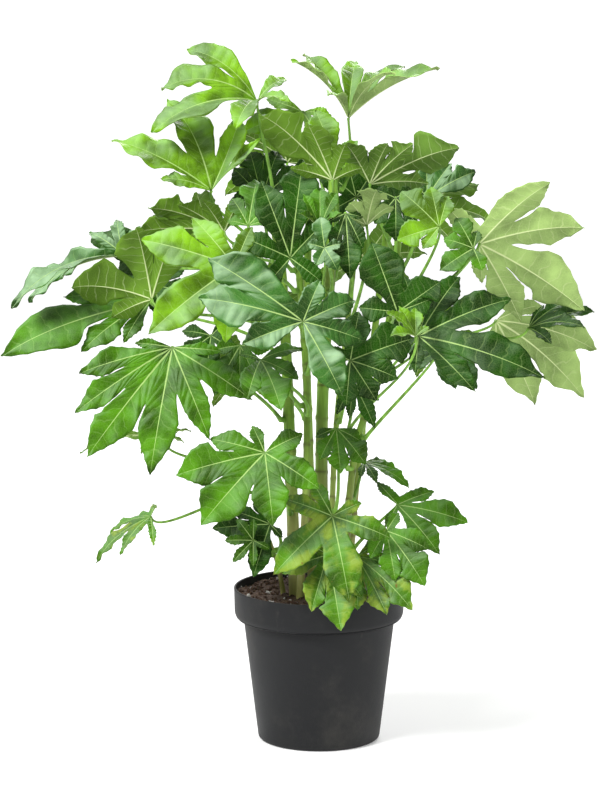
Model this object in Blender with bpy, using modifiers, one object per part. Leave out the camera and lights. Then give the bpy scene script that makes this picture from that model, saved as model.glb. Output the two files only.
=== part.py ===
"""Potted fatsia: a nursery pot of peat, a clump of leafy canes and their many-lobed leaves.

Metres, +Z up. The origin is the middle of the pot's underside. The plant is seen from -Y.
"""

import math

import bmesh
import bpy
import numpy as np
from mathutils.bvhtree import BVHTree

MM = 0.001

# Pot
POT_HEIGHT = 190 * MM
RIM_RADIUS = 105 * MM
COLLAR_HEIGHT = 38 * MM
BODY_TOP_RADIUS = 93 * MM
BASE_RADIUS = 75 * MM
WALL = 2.4 * MM
FOOT_ROUND = 5 * MM
DRAIN_RADIUS = 5 * MM
DRAIN_CIRCLE = 48 * MM
DRAIN_HOLES = 6
TURN_STEPS = 28

# Soil
SOIL_LEVEL = 181 * MM
SOIL_BUMPS = 2.0 * MM
SOIL_RINGS = 4
CANE_DEPTH = 70 * MM
GAP = 0.3 * MM

# Leaves
BLADE = 0.8 * MM
CLEARANCE = 0.5 * MM
PETIOLE_FOOT_RADIUS = 3.0 * MM
PETIOLE_TIP_RADIUS = 1.8 * MM
PETIOLE_POINTS = 5
FOOT_ROOM = 7 * MM
STALK_SPREAD = 5 * MM
FLAT_STALK = 0.25

# A lobe: half its width and the cut beside it as shares of its length, how it droops along its rib,
# curls at its tip and folds up beside the rib, in degrees, and how much each of these may differ.
LOBE_WIDTH = 0.16
WIDTH_VARIES = 0.08
SINUS = 0.42
SINUS_VARIES = 0.06
LONGEST_WEB = 0.53
DROOP = 30
DROOP_VARIES = 9
CURL = 10
CURL_VARIES = (-8, 12)
FOLD = 14
TWIST_VARIES = 11
LOBE_GAP = 34
GAP_LIMITS = (0.55, 1.5)
FREE_FROM = 0.38
FREE_SPAN = 0.3
WEDGE = 0.8
WIDEST_ROOM = math.radians(75)
ARC_POINTS, ARC_WEIGHTS = np.polynomial.legendre.leggauss(6)
ARC_POINTS = (ARC_POINTS + 1) / 2
ARC_WEIGHTS = ARC_WEIGHTS / 2

# The corners of a lobe: how far along it, and how far out beside the rib. A small lobe has fewer.
SMALL_LOBE = 56 * MM
RIB_CORNERS = (0.46, 0.76)
SIDE_CORNERS = ((0.6, 1), (0.82, 0.62))
SMALL_SIDE = (0.66, 1)
OUTER_ROOT = (0.3, 0.55)

COLOURS = {
    "pot_plastic": ((0.042, 0.042, 0.045), 0.55),
    "soil": ((0.055, 0.03, 0.018), 0.95),
    "cane": ((0.25, 0.42, 0.08), 0.45),
    "dark": ((0.02, 0.09, 0.015), 0.32),
    "mid": ((0.07, 0.22, 0.03), 0.38),
    "lime": ((0.2, 0.45, 0.05), 0.42),
    "mint": ((0.22, 0.4, 0.16), 0.36),
    "mottled": ((0.14, 0.3, 0.04), 0.45),
}

# Each cane: its radius at the soil and at its top, and the points that it rises through, in mm.
CANES = {
    "cane_1": (8.0, 5.5, [(-29, -8, 180), (-36, -4, 373), (-41, 0, 497), (-47, 6, 590), (-60, 12, 668)]),
    "cane_2": (
        4.6, 4.0, [(-24, -30, 180), (-17, -28, 300), (-15, -24, 420), (-20, -22, 520), (-28, -18, 620)]
    ),
    "cane_3": (8.5, 6.0, [(6, 16, 180), (3, 11, 323), (5, 8, 447), (12, 6, 558), (17, 8, 690)]),
    "cane_4": (
        4.6, 3.8, [(30, -6, 180), (36, -9, 290), (46, -11, 373), (66, -11, 435), (84, -9, 520), (96, -4, 620)]
    ),
    "cane_5": (3.6, 3.2, [(15, -22, 180), (16, -24, 300), (21, -20, 400), (32, -14, 500), (44, -4, 610)]),
    "cane_6": (6.0, 4.5, [(-8, 42, 180), (-12, 52, 350), (-16, 64, 500), (-12, 74, 650)]),
    "cane_7": (5.0, 4.0, [(36, 34, 180), (48, 50, 330), (66, 68, 470), (82, 82, 610)]),
}

# Short leafy stems from the soil, in the same form. Each is one piece with its leaves.
SHOOTS = {
    "shoot_left": (3.2, 2.2, [(-44, 2, 180), (-50, -6, 215), (-58, -22, 245)]),
    "shoot_front": (3.0, 2.2, [(14, -46, 180), (16, -52, 205), (20, -58, 232)]),
    "shoot_right": (3.4, 2.4, [(52, -14, 180), (58, -22, 215), (70, -26, 250)]),
}

LEAVES = []


def leaf(node, cane, foot, hub, tips, face=30, side=0, tone="mid", **shape):
    """Notes one leaf, in mm and degrees.

    foot is how high its stalk leaves the cane, hub is where the ribs meet, and tips are how far
    each lobe reaches from there, across and up, and for some also towards the viewer. face turns
    the upper side from the viewer (0) to the sky (90) and away (180), and side turns it to the
    right. shape holds what differs from a plain lobe: its width, cut, droop, curl or fold.
    """
    LEAVES.append(
        dict(shape, node=node, cane=cane, foot=foot, hub=hub, tips=tips, face=face, side=side, tone=tone)
    )


# Front of the crown
leaf("front_leaf_1", "cane_2", 505, (-20, -200, 545),
     ((-110, 70), (-120, 25), (-70, -25), (20, 45, -25), (60, 20, -35), (70, -25, -20),
      (45, -80)), 25, tone="mint", width=0.22, cut=0.5, droop=26)
leaf("front_leaf_2", "cane_2", 560, (-100, -125, 600),
     ((-50, 55), (-110, 30), (-100, -75), (-10, -85), (30, -20),
      (20, 45)), 25, tone="lime", width=0.2, cut=0.45)
leaf("front_leaf_3", "cane_4", 410, (115, -140, 520),
     ((145, -45), (65, -60), (110, 40), (50, 65), (-5, -40), (20, 55)), 35, tone="dark", width=0.17)
leaf("front_leaf_4", "cane_5", 400, (35, -165, 495),
     ((55, -20), (30, -45), (-5, -50), (-30, 10), (10, 55), (75, 25)), 20, tone="dark", width=0.3, cut=0.6)
leaf("front_leaf_5", "cane_4", 470, (90, -150, 550),
     ((-30, 80), (50, 35), (40, 15), (-45, 5), (5, -35)), 10, tone="dark", width=0.32, cut=0.5)
leaf("front_leaf_6", "cane_1", 400, (-175, -90, 500),
     ((-45, 5), (-110, -30), (-115, -75), (-100, -125), (-25, -145), (45, -105), (95, -60),
      (60, -5)), 20, width=0.14, cut=0.45, fold=8)
leaf("front_leaf_7", "cane_1", 285, (-65, -130, 380),
     ((-15, 30), (-65, 15), (-105, -25), (-75, -80), (10, -80), (65, -40),
      (45, 20)), 25, width=0.24, cut=0.6, fold=10)
leaf("front_leaf_8", "cane_3", 540, (-35, -75, 605),
     ((15, 115), (-35, 90), (-60, 25), (-35, -40), (40, -30), (50, 50)), 15, tone="dark", width=0.22)

# Top of the crown
leaf("top_leaf_1", "cane_1", 655, (-75, 10, 785),
     ((35, 25, -30), (-85, 60, -20), (-115, 15, 20), (-125, -35, 45), (-25, -30, 60),
      (40, 0, 30)), 60, droop=62, curl=16, width=0.22, cut=0.36)
leaf("top_leaf_2", "cane_3", 680, (35, 20, 765),
     ((-70, 70, 15), (-55, 75, -45), (10, 65, -70), (70, 60, -50), (110, 60, 10), (55, 55, 60),
      (-25, 30, 60)), 85, droop=36, width=0.21, cut=0.4)
leaf("top_leaf_3", "cane_1", 600, (-130, -20, 680),
     ((-120, 60, -10), (-55, 105, -45), (35, 90, -30), (60, 65, 20),
      (-60, 15, 15)), 45, 25, droop=34, width=0.2, cut=0.42)
leaf("top_leaf_4", "cane_3", 650, (-20, 60, 770),
     ((-45, 15), (-75, -25), (-55, -35), (-15, -30), (20, -35), (35, -5)), 35, tone="lime", width=0.2)
leaf("top_leaf_5", "cane_3", 600, (15, -60, 695),
     ((-85, 80), (-50, 15), (-30, 70), (15, 45), (35, 15)), 150, width=0.22)
leaf("top_leaf_6", "cane_4", 600, (60, -45, 690),
     ((-30, 50), (20, 50), (50, 50), (105, 45), (70, 0)), 150, tone="mint", width=0.24, cut=0.5)
leaf("top_leaf_7", "cane_3", 620, (20, -30, 715),
     ((-25, 60), (-40, 30), (-20, 5), (20, -10), (25, 25)), 20, tone="mint", width=0.26)
leaf("top_leaf_8", "cane_4", 585, (130, 0, 670),
     ((60, 30), (30, 40), (0, 40), (-25, 25), (25, -10)), 30, tone="mint", width=0.22)
leaf("top_leaf_9", "cane_3", 570, (45, 20, 670),
     ((-45, 35), (-15, 55), (35, 50), (60, 15), (35, -25),
      (-35, -20)), 20, tone="dark", width=0.28, cut=0.55)
leaf("top_leaf_10", "cane_1", 570, (-70, 5, 670),
     ((-35, 35), (-15, 55), (20, 55), (45, 35), (35, -10),
      (-40, -5)), 35, tone="dark", width=0.28, cut=0.55)

# Left of the crown
leaf("left_leaf_1", "cane_1", 560, (-235, -10, 600),
     ((-10, 40, -40), (-45, 25, -30), (-95, -35, -45), (-115, -55, 15), (-130, -55, 75),
      (30, 30, -40)), 50, -20, tone="mint", droop=56, width=0.14)
leaf("left_leaf_2", "cane_1", 500, (-200, -70, 555),
     ((-15, 90), (-95, 15), (-50, -25), (25, 75)), 150, width=0.3, cut=0.4)
leaf("left_leaf_3", "cane_1", 480, (-205, -45, 550),
     ((-175, -60), (-105, 5), (-80, -55), (-30, -45), (-35, 30)), 40, width=0.17, fold=8)
leaf("left_leaf_4", "cane_1", 575, (-115, 15, 625),
     ((-55, 35), (-90, 30), (-110, 0), (-45, -15), (-25, 40), (20, 40)), 150, width=0.2)
leaf("left_leaf_5", "cane_2", 585, (-85, -50, 640),
     ((-25, 5), (-20, 30), (10, 50), (45, 35), (35, 5)), 45, width=0.26, cut=0.5)
leaf("left_leaf_6", "cane_1", 520, (-200, 25, 560),
     ((-80, 60), (0, 40), (35, 30), (45, -10), (5, -35), (-45, 30)), 25, tone="dark", width=0.3, cut=0.5)

# Middle of the crown
leaf("middle_leaf_1", "cane_5", 520, (55, -90, 645),
     ((-20, 30), (10, 45), (30, 25), (-25, 10), (-20, -10)), 130, tone="lime", width=0.26)
leaf("middle_leaf_2", "cane_3", 555, (0, -85, 640),
     ((-20, 40, -10), (0, 45, -35), (20, 40, -20), (-25, 20, 25), (25, 20, 20)), 60, width=0.26)
leaf("middle_leaf_3", "cane_2", 460, (5, -115, 620),
     ((-20, 5), (-5, 35), (20, 5), (-10, -20), (15, -25)), 25, tone="mint", width=0.3, cut=0.6)
leaf("middle_leaf_4", "cane_5", 540, (30, -100, 660),
     ((5, -75), (-15, -45), (20, -40), (20, -5), (-20, -10)), 20, tone="dark", width=0.2, cut=0.36)
leaf("middle_leaf_5", "cane_4", 520, (140, -105, 645),
     ((-45, 40), (-50, -15), (-10, 45), (10, 35), (-20, -25)), 20, tone="lime", width=0.3, cut=0.6)
leaf("middle_leaf_6", "cane_4", 555, (90, -60, 675),
     ((0, -50), (-25, -30), (-25, 10), (20, 10), (25, -30)), 20, tone="dark", width=0.3, cut=0.55)
leaf("cane_4", "cane_4", 450, (110, -95, 555),
     ((25, 25, -20), (35, 25, 15), (-10, 30), (35, 0), (15, -20)), 20, tone="dark", width=0.16)
leaf("cane_4", "cane_4", 430, (110, -180, 525),
     ((-35, 30, 15), (-20, 35, -5), (0, 30, -25), (-30, 5, 30), (15, 10, -10)), 55, tone="lime", width=0.24)

# Right of the crown
leaf("right_leaf_1", "cane_4", 495, (190, -60, 620),
     ((-40, 45), (80, 75), (125, 20), (130, -85), (55, -100),
      (5, -50)), 155, tone="lime", width=0.19, cut=0.4)
leaf("right_leaf_2", "cane_7", 450, (215, 5, 520),
     ((125, -40), (115, -105), (55, -115), (5, -65), (55, 20)), 150, tone="lime", width=0.19, cut=0.5)
leaf("right_leaf_3", "cane_7", 480, (255, 40, 505),
     ((80, 20, 0), (65, 5, 35), (20, 25, -20), (55, 30, -30), (25, -15, 35)), 60, tone="dark", width=0.15)
leaf("right_leaf_4", "cane_4", 380, (140, -90, 495),
     ((45, -40), (20, -40), (-35, -20), (-40, 0), (45, -10)), 40, tone="mint", width=0.24)
leaf("right_leaf_5", "cane_4", 480, (180, -110, 620),
     ((-40, -25), (-35, 10), (-20, 35), (5, 20), (10, -25)), 25, width=0.3, cut=0.6)

# Below the crown
leaf("low_leaf_1", "cane_1", 430, (-130, -60, 510),
     ((-35, -30), (-35, 5), (-5, -45), (30, -20), (25, 20)), 30, tone="dark", width=0.26)
leaf("low_leaf_2", "cane_2", 420, (-95, -75, 500),
     ((-30, -55), (0, -50), (25, -50), (35, -5), (-30, -5)), 30, width=0.28, cut=0.5)
leaf("low_leaf_3", "cane_1", 310, (-190, -20, 380),
     ((-105, -30), (-60, -5), (-30, -30), (35, 10), (25, -10)), 120, width=0.12)
leaf("low_leaf_4", "cane_2", 370, (-70, -62, 480),
     ((-15, -40), (25, -50), (45, -20), (50, 10), (-25, 5)), 55, width=0.22)
leaf("cane_5", "cane_5", 350, (40, -42, 450),
     ((-20, -35), (-5, -40), (25, -50), (30, -20), (-15, 10)), 30, tone="dark", width=0.14)
leaf("cane_4", "cane_4", 300, (55, 0, 345),
     ((55, -30, 10), (30, -5, -25), (45, -15, -12), (15, -20, 30), (-5, -15, 25)), 60, width=0.15)
leaf("cane_5", "cane_5", 290, (20, -12, 390),
     ((-20, -35), (5, -50), (35, -40), (30, -15), (-25, -10)), 30, width=0.26)
leaf("low_leaf_8", "cane_2", 225, (15, -110, 300),
     ((-60, 20), (-70, -65), (20, -95), (70, -25), (35, 15),
      (-25, 40)), 25, tone="mottled", width=0.2, cut=0.5, fold=9)
leaf("low_leaf_9", "cane_4", 240, (95, -40, 300),
     ((85, -20), (45, 15), (-25, 25), (-15, -25), (50, -55)), 30, width=0.18, cut=0.36)

# Back of the crown
leaf("back_leaf_1", "cane_6", 640, (-40, 170, 700),
     ((-60, 40), (-100, 5), (-80, -45), (-20, 60), (45, 40), (55, -10)), 140)
leaf("back_leaf_2", "cane_6", 560, (-130, 150, 600),
     ((-20, 70), (-70, 50), (-100, 0), (-75, -50), (40, 40)), 130, -25)
leaf("back_leaf_3", "cane_7", 600, (120, 170, 640),
     ((-40, 60), (20, 70), (75, 40), (95, -10), (60, -55)), 130, 25)
leaf("back_leaf_4", "cane_7", 540, (60, 210, 570),
     ((-75, 30), (-30, 65), (40, 60), (80, 10), (65, -50), (-70, -40)), 145, tone="dark")
leaf("back_leaf_5", "cane_6", 470, (-60, 200, 540),
     ((-90, 20), (-50, 60), (20, 65), (-80, -45), (-20, -75), (45, -40)), 150, tone="dark")
leaf("back_leaf_6", "cane_7", 430, (130, 130, 470),
     ((-30, 50), (50, 55), (85, 5), (60, -45), (-5, -45)), 140, 15)
leaf("back_leaf_7", "cane_6", 390, (-90, 130, 440),
     ((-30, 50), (-75, 35), (-90, -15), (-45, -50), (25, -45)), 140, -15)

# Leaves of the short stems
leaf("shoot_left", "shoot_left", 240, (-80, -60, 260),
     ((-35, 0), (-25, -25), (0, -30), (20, -10), (0, 25), (-20, 25)), 20, width=0.17)
leaf("shoot_left", "shoot_left", 244, (-60, -35, 275),
     ((-70, -5), (-45, 15), (-20, 30), (-20, -60), (15, -15)), 25, tone="dark", width=0.2, cut=0.5)
leaf("shoot_front", "shoot_front", 226, (10, -98, 250),
     ((-55, -20), (-20, -60), (15, -80), (-35, 15), (40, -45)), 35, tone="mottled", width=0.22, cut=0.45)
leaf("shoot_front", "shoot_front", 230, (45, -85, 245),
     ((35, -60), (65, -55), (60, -15), (0, -55), (30, 15)), 40, tone="mottled", width=0.22, cut=0.45)
leaf("shoot_right", "shoot_right", 246, (80, -72, 275),
     ((45, -60), (10, -55), (50, -20), (-20, -30), (15, 20)), 30, width=0.26, cut=0.5)
leaf("cane_1", "cane_1", 300, (-205, -40, 285),
     ((-65, -55, 10), (-50, -25, -20), (-25, -20, -40), (5, 10, -25), (5, -30, 30),
      (-35, -40, 35)), 60, tone="mottled", width=0.1, droop=50)


def unit(vector):
    """The same direction, one long."""
    return vector / np.linalg.norm(vector)


def smooth(t):
    """0 to 1 with flat ends."""
    t = np.clip(t, 0, 1)
    return t * t * (3 - 2 * t)


class Blade:
    """A fatsia blade: lobes round the hub, each bent down along its rib and folded up beside it."""

    def __init__(self, row, seed):
        rng = np.random.default_rng(seed)
        self.hub = np.array(row["hub"]) * MM
        face, side = np.radians([row["face"], row["side"]])
        self.normal = np.array(
            [math.sin(side), -math.cos(side) * math.cos(face), math.cos(side) * math.sin(face)]
        )
        rise, straight = self.place_lobes(self.reaches(row["tips"]))
        lobes = len(self.angles)
        self.droop = np.radians(row.get("droop", DROOP) + rng.uniform(-DROOP_VARIES, DROOP_VARIES, lobes))
        self.curl = np.radians(row.get("curl", CURL) + rng.uniform(*CURL_VARIES, lobes))
        self.lift = rise + self.droop / 2 + self.curl / 4
        self.twist = np.radians(rng.uniform(-TWIST_VARIES, TWIST_VARIES, lobes))
        self.fold = math.radians(row.get("fold", FOLD))
        slopes = self.lift - np.outer(ARC_POINTS, self.droop) - np.outer(ARC_POINTS**3, self.curl)
        self.lengths = straight / np.hypot(ARC_WEIGHTS @ np.cos(slopes), ARC_WEIGHTS @ np.sin(slopes))
        wide = 1 + rng.uniform(-WIDTH_VARIES, WIDTH_VARIES, lobes)
        self.widths = row.get("width", LOBE_WIDTH) * wide * self.lengths
        between = np.diff(self.angles)
        shorter = np.minimum(self.lengths[:-1], self.lengths[1:])
        openness = np.clip(between / math.radians(LOBE_GAP), *GAP_LIMITS)
        cut = row.get("cut", SINUS) * (1 + rng.uniform(-SINUS_VARIES, SINUS_VARIES, lobes - 1))
        self.sinuses = np.minimum(cut * openness**-0.6, LONGEST_WEB) * shorter
        around = np.append(between, 2 * math.pi - between.sum())
        self.beside = np.minimum(around / 2, WIDEST_ROOM)

    def room(self, lobe, along, turn):
        """How far out from its rib a lobe may reach on one side without crossing the next lobe."""
        return WEDGE * along * math.tan(self.beside[lobe if turn > 0 else lobe - 1])

    def reaches(self, tips):
        """From the hub to each tip. A tip that is given only across and up lies in the blade's plane."""
        steep = math.copysign(max(abs(self.normal[1]), 0.25), self.normal[1])
        found = []
        for across, up, *nearer in tips:
            far = 1.2 * math.hypot(across, up)
            depth = -(self.normal[0] * across + self.normal[2] * up) / steep
            found.append((across, -nearer[0] if nearer else min(max(depth, -far), far), up))
        return np.array(found) * MM

    def place_lobes(self, reach):
        """Sorts the lobes round the hub, starting after the widest gap, where the stalk comes in.

        Gives how steeply each tip stands over the blade's plane, and how far it is from the hub.
        """
        over = reach @ self.normal
        flat = reach - over[:, None] * self.normal
        ahead = unit(flat.sum(0))
        left = np.cross(self.normal, ahead)
        angles = np.arctan2(flat @ left, flat @ ahead)
        order = np.argsort(angles)
        gaps = np.diff(np.append(angles[order], angles[order[0]] + 2 * math.pi))
        order = np.roll(order, -int(np.argmax(gaps)) - 1)
        angles = angles[order]
        angles = np.where(angles < angles[0] - 1e-9, angles + 2 * math.pi, angles)
        middle = (angles[0] + angles[-1]) / 2
        self.ahead = math.cos(middle) * ahead + math.sin(middle) * left
        self.left = np.cross(self.normal, self.ahead)
        self.angles = angles - middle
        rise = np.arctan2(over, np.linalg.norm(flat, axis=1))
        return rise[order], np.linalg.norm(reach, axis=1)[order]

    def point(self, lobe, along, across):
        """A place on the blade, given by how far along a lobe's rib it is and how far across it."""
        radius = math.hypot(along, across)
        angle = self.angles[lobe] + math.atan2(across, along)
        own = smooth((along / self.lengths[lobe] - FREE_FROM) / FREE_SPAN)
        lift, droop, curl, length = [
            np.interp(angle, self.angles, values) * (1 - own) + values[lobe] * own
            for values in (self.lift, self.droop, self.curl, self.lengths)
        ]
        part = radius / length
        slopes = lift - droop * part * ARC_POINTS - curl * (part * ARC_POINTS) ** 3
        out = radius * (np.cos(slopes) @ ARC_WEIGHTS)
        up = radius * (np.sin(slopes) @ ARC_WEIGHTS)
        slope = lift - droop * part - curl * part**3
        ray = math.cos(angle) * self.ahead + math.sin(angle) * self.left
        above = math.cos(slope) * self.normal - math.sin(slope) * ray
        rise = abs(across) * math.tan(self.fold) * smooth(4 * along / self.lengths[lobe])
        rise += across * math.tan(self.twist[lobe]) * own
        return self.hub + out * ray + up * self.normal + rise * above

    def sinus(self, lobe):
        """The bottom of the cut between a lobe and the next."""
        half = (self.angles[lobe + 1] - self.angles[lobe]) / 2
        along = self.sinuses[lobe] * math.cos(half)
        across = self.sinuses[lobe] * math.sin(half)
        return (self.point(lobe, along, across) + self.point(lobe + 1, along, -across)) / 2

    def surface(self):
        """The upper side: its points, its triangles and the order of the points round its edge."""
        lobes = len(self.angles)
        points = [self.hub] + [self.sinus(lobe) for lobe in range(lobes - 1)]
        triangles = []
        edge = [0]

        def add(lobe, part, share, turn=1):
            along = part * self.lengths[lobe]
            across = min(share * self.widths[lobe], self.room(lobe, along, turn))
            points.append(self.point(lobe, along, turn * across))
            return len(points) - 1

        for lobe in range(lobes):
            last = lobe == lobes - 1
            small = self.lengths[lobe] < SMALL_LOBE
            sides = {}
            middle = [add(lobe, along, 0) for along in RIB_CORNERS[: 1 if small else 2]]
            tip = add(lobe, 1, 0)
            for turn in (-1, 1):
                if turn < 0:
                    root = lobe if lobe else add(lobe, *OUTER_ROOT, turn)
                else:
                    root = add(lobe, *OUTER_ROOT) if last else lobe + 1
                corners = (SMALL_SIDE,) if small else SIDE_CORNERS
                sides[turn] = [root] + [add(lobe, *corner, turn) for corner in corners]
                wide = sides[turn][1]
                fan = [(0, middle[0], root), (middle[0], wide, root)]
                if small:
                    fan.append((middle[0], tip, wide))
                else:
                    fan.append((middle[0], middle[1], wide))
                    fan.append((middle[1], sides[turn][2], wide))
                    fan.append((middle[1], tip, sides[turn][2]))
                triangles += [triangle[::turn] for triangle in fan]
            edge += sides[-1] + [tip] + sides[1][:0:-1]
            if last:
                edge.append(sides[1][0])
        return np.array(points), np.array(triangles), edge


def slab(points, triangles, edge, thickness):
    """The surface given a thickness, triangulated alike on both sides, with a wall round its edge."""
    corners = points[triangles]
    faces = np.cross(corners[:, 1] - corners[:, 0], corners[:, 2] - corners[:, 0])
    normals = np.zeros_like(points)
    for corner in range(3):
        np.add.at(normals, triangles[:, corner], faces)
    normals /= np.linalg.norm(normals, axis=1)[:, None]
    count = len(points)
    both = np.concatenate([points + normals * thickness / 2, points - normals * thickness / 2])
    polygons = [tuple(triangle) for triangle in triangles]
    polygons += [tuple(triangle[::-1] + count) for triangle in triangles]
    for start, end in zip(edge, edge[1:] + edge[:1]):
        polygons += [(start, start + count, end + count), (start, end + count, end)]
    return both, polygons


def smooth_path(points, count):
    """Points along one smooth curve through the given ones."""
    points = np.array(points, float)
    slopes = np.gradient(points, axis=0)
    spans = len(points) - 1
    places = np.linspace(0, spans, count)
    index = np.minimum(places.astype(int), spans - 1)
    t = (places - index)[:, None]
    start, end = points[index], points[index + 1]
    return (
        (1 + 2 * t) * (1 - t) ** 2 * start
        + t * (1 - t) ** 2 * slopes[index]
        + t * t * (3 - 2 * t) * end
        + t * t * (t - 1) * slopes[index + 1]
    )


def tube(points, radii, resolution):
    """A closed tube mesh along the points."""
    curve = bpy.data.curves.new("tube", "CURVE")
    curve.dimensions = "3D"
    curve.bevel_depth = 1
    curve.bevel_resolution = resolution
    curve.use_fill_caps = True
    spline = curve.splines.new("POLY")
    spline.points.add(len(points) - 1)
    for knot, point, radius in zip(spline.points, points, radii):
        knot.co = (*point, 1)
        knot.radius = radius
    holder = bpy.data.objects.new("tube", curve)
    mesh = bpy.data.meshes.new_from_object(holder)
    bpy.data.objects.remove(holder)
    bpy.data.curves.remove(curve)
    shape = bmesh.new()
    shape.from_mesh(mesh)
    bmesh.ops.remove_doubles(shape, verts=shape.verts, dist=0.01 * MM)
    bmesh.ops.recalc_face_normals(shape, faces=shape.faces)
    shape.to_mesh(mesh)
    shape.free()
    return mesh


def slab_mesh(points, triangles, edge, thickness):
    """A mesh of the surface with that thickness."""
    both, polygons = slab(points, triangles, edge, thickness)
    mesh = bpy.data.meshes.new("slab")
    mesh.from_pydata([tuple(point) for point in both], [], polygons)
    mesh.update()
    return mesh


def tree_of(mesh):
    """A tree of the mesh's faces, which tells what they cross."""
    points = [vertex.co.copy() for vertex in mesh.vertices]
    return BVHTree.FromPolygons(points, [tuple(polygon.vertices) for polygon in mesh.polygons])


def cane_path(entry):
    """The axis of a cane from its foot in the soil to its top, in metres, and its radii."""
    foot_radius, top_radius, points = entry
    points = np.array(points, float) * MM
    count = max(6, 3 * (len(points) - 1))
    path = smooth_path(points, count)
    path = np.concatenate([[points[0] - (0, 0, CANE_DEPTH)], path])
    radii = np.interp(path[:, 2], path[[1, -1], 2], (foot_radius * MM, top_radius * MM))
    return path, radii


def stalk_path(blade, cane, foot, sway, grown):
    """The leaf stalk: square out of its cane, then in one arch up to the hub from underneath.

    A stalk that is one piece with its cane has grown out of the cane's axis, and any other
    stands a gap off the cane's side.
    """
    path, radii = cane
    foot = float(np.clip(foot, SOIL_LEVEL + FOOT_ROOM, path[-1, 2] - FOOT_ROOM))
    start, above = [
        np.array([np.interp(height, path[:, 2], path[:, axis]) for axis in range(3)])
        for height in (foot, foot + STALK_SPREAD)
    ]
    radius = float(np.interp(foot, path[:, 2], radii))
    axis = unit(above - start)
    away = unit(np.cross(np.cross(axis, blade.hub - start), axis))
    bow = unit(away + sway * np.cross(axis, away))
    first = start if grown else start + bow * (radius + GAP)
    second = start + bow * (radius + GAP + STALK_SPREAD)
    arrive = unit(FLAT_STALK * blade.ahead + blade.normal)
    reach = np.linalg.norm(blade.hub - second)
    handle_out = second + (0.55 * bow + (0, 0, 0.75)) * 0.36 * reach
    handle_in = blade.hub - arrive * 0.26 * reach
    t = np.linspace(0, 1, PETIOLE_POINTS)[:, None]
    arch = (
        (1 - t) ** 3 * second
        + 3 * (1 - t) ** 2 * t * handle_out
        + 3 * (1 - t) * t * t * handle_in
        + t**3 * blade.hub
    )
    return np.concatenate([[first], arch])


def stalk_mesh(path, extra=0):
    """The stalk's tube, tapering to the hub, with room round it where it is only a test."""
    radii = np.linspace(PETIOLE_FOOT_RADIUS, PETIOLE_TIP_RADIUS, len(path)) + extra
    return tube(path, radii, 0)


# How far a leaf may slide along the line of sight, and how its stalk may leave the cane, to be clear.
SLIDES = sorted((step * 6 * MM for step in range(-16, 17)), key=abs)
SIGHT = np.array([0, 1, -0.157])
RAISES = (0, 12 * MM, -12 * MM, 24 * MM, -24 * MM, 40 * MM, -40 * MM, 60 * MM, -60 * MM, 90 * MM, -90 * MM)
SWAYS = (0, 0.35, -0.35, 0.8, -0.8, 1.4, -1.4)


def settle(blade, cane, foot, own, placed):
    """Slides the blade, and moves its stalk, to the first place where both clear what is placed.

    own is the tree of the cane that the stalk stands against, which only its bare tube has to
    clear, or None where the leaf is one piece with the cane.
    """
    points, triangles, edge = blade.surface()
    home = blade.hub.copy()
    others = placed if own is None else [*placed, own]
    for slide in SLIDES:
        blade.hub = home + slide * SIGHT
        moved = points + slide * SIGHT
        wide = tree_of(slab_mesh(moved, triangles, edge, BLADE + 2 * CLEARANCE))
        if any(wide.overlap(tree) for tree in others):
            continue
        for raised in RAISES:
            for sway in SWAYS:
                path = stalk_path(blade, cane, foot * MM + raised, sway, own is None)
                if own is not None and tree_of(stalk_mesh(path)).overlap(own):
                    continue
                wide = tree_of(stalk_mesh(path, CLEARANCE))
                if not any(wide.overlap(tree) for tree in placed):
                    return slab_mesh(moved, triangles, edge, BLADE), stalk_mesh(path)
    raise RuntimeError(f"no clear place for the leaf at {home}")


def material(name):
    """A plain finish in the piece's colour."""
    colour, roughness = COLOURS[name]
    made = bpy.data.materials.new(name)
    made.use_nodes = True
    shader = made.node_tree.nodes["Principled BSDF"]
    shader.inputs["Base Color"].default_value = (*colour, 1)
    shader.inputs["Roughness"].default_value = roughness
    return made


def add_object(name, mesh, finish, collection):
    """A named object that shows the mesh in the given finish."""
    mesh.name = name
    mesh.materials.clear()
    mesh.materials.append(finish)
    made = bpy.data.objects.new(name, mesh)
    collection.objects.link(made)
    return made


def applied(holder):
    """The object's mesh with its modifiers applied, which then replaces it."""
    bpy.context.view_layer.update()
    mesh = bpy.data.meshes.new_from_object(holder.evaluated_get(bpy.context.evaluated_depsgraph_get()))
    holder.modifiers.clear()
    holder.data = mesh
    return mesh


def combine(holder, meshes, operation):
    """Joins each mesh to the holder, or cuts it away, with a Boolean that is then applied."""
    finish = holder.data.materials[0]
    for mesh in meshes:
        other = bpy.data.objects.new("other", mesh)
        bpy.context.scene.collection.objects.link(other)
        boolean = holder.modifiers.new("Boolean", "BOOLEAN")
        boolean.object = other
        boolean.operation = operation
        boolean.solver = "EXACT"
        applied(holder)
        bpy.data.objects.remove(other)
    holder.data.materials.clear()
    holder.data.materials.append(finish)


def turned(name, profile, finish, collection):
    """A profile, in radius and height, turned round the upright axis."""
    mesh = bpy.data.meshes.new(name)
    points = [(radius, 0, height) for radius, height in profile]
    mesh.from_pydata(points, [(index, index + 1) for index in range(len(points) - 1)], [])
    made = add_object(name, mesh, finish, collection)
    screw = made.modifiers.new("Screw", "SCREW")
    screw.axis = "Z"
    screw.steps = screw.render_steps = TURN_STEPS
    screw.use_merge_vertices = True
    screw.merge_threshold = 0.01 * MM
    screw.use_normal_calculate = True
    applied(made).materials.clear()
    made.data.materials.append(finish)
    return made


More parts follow.
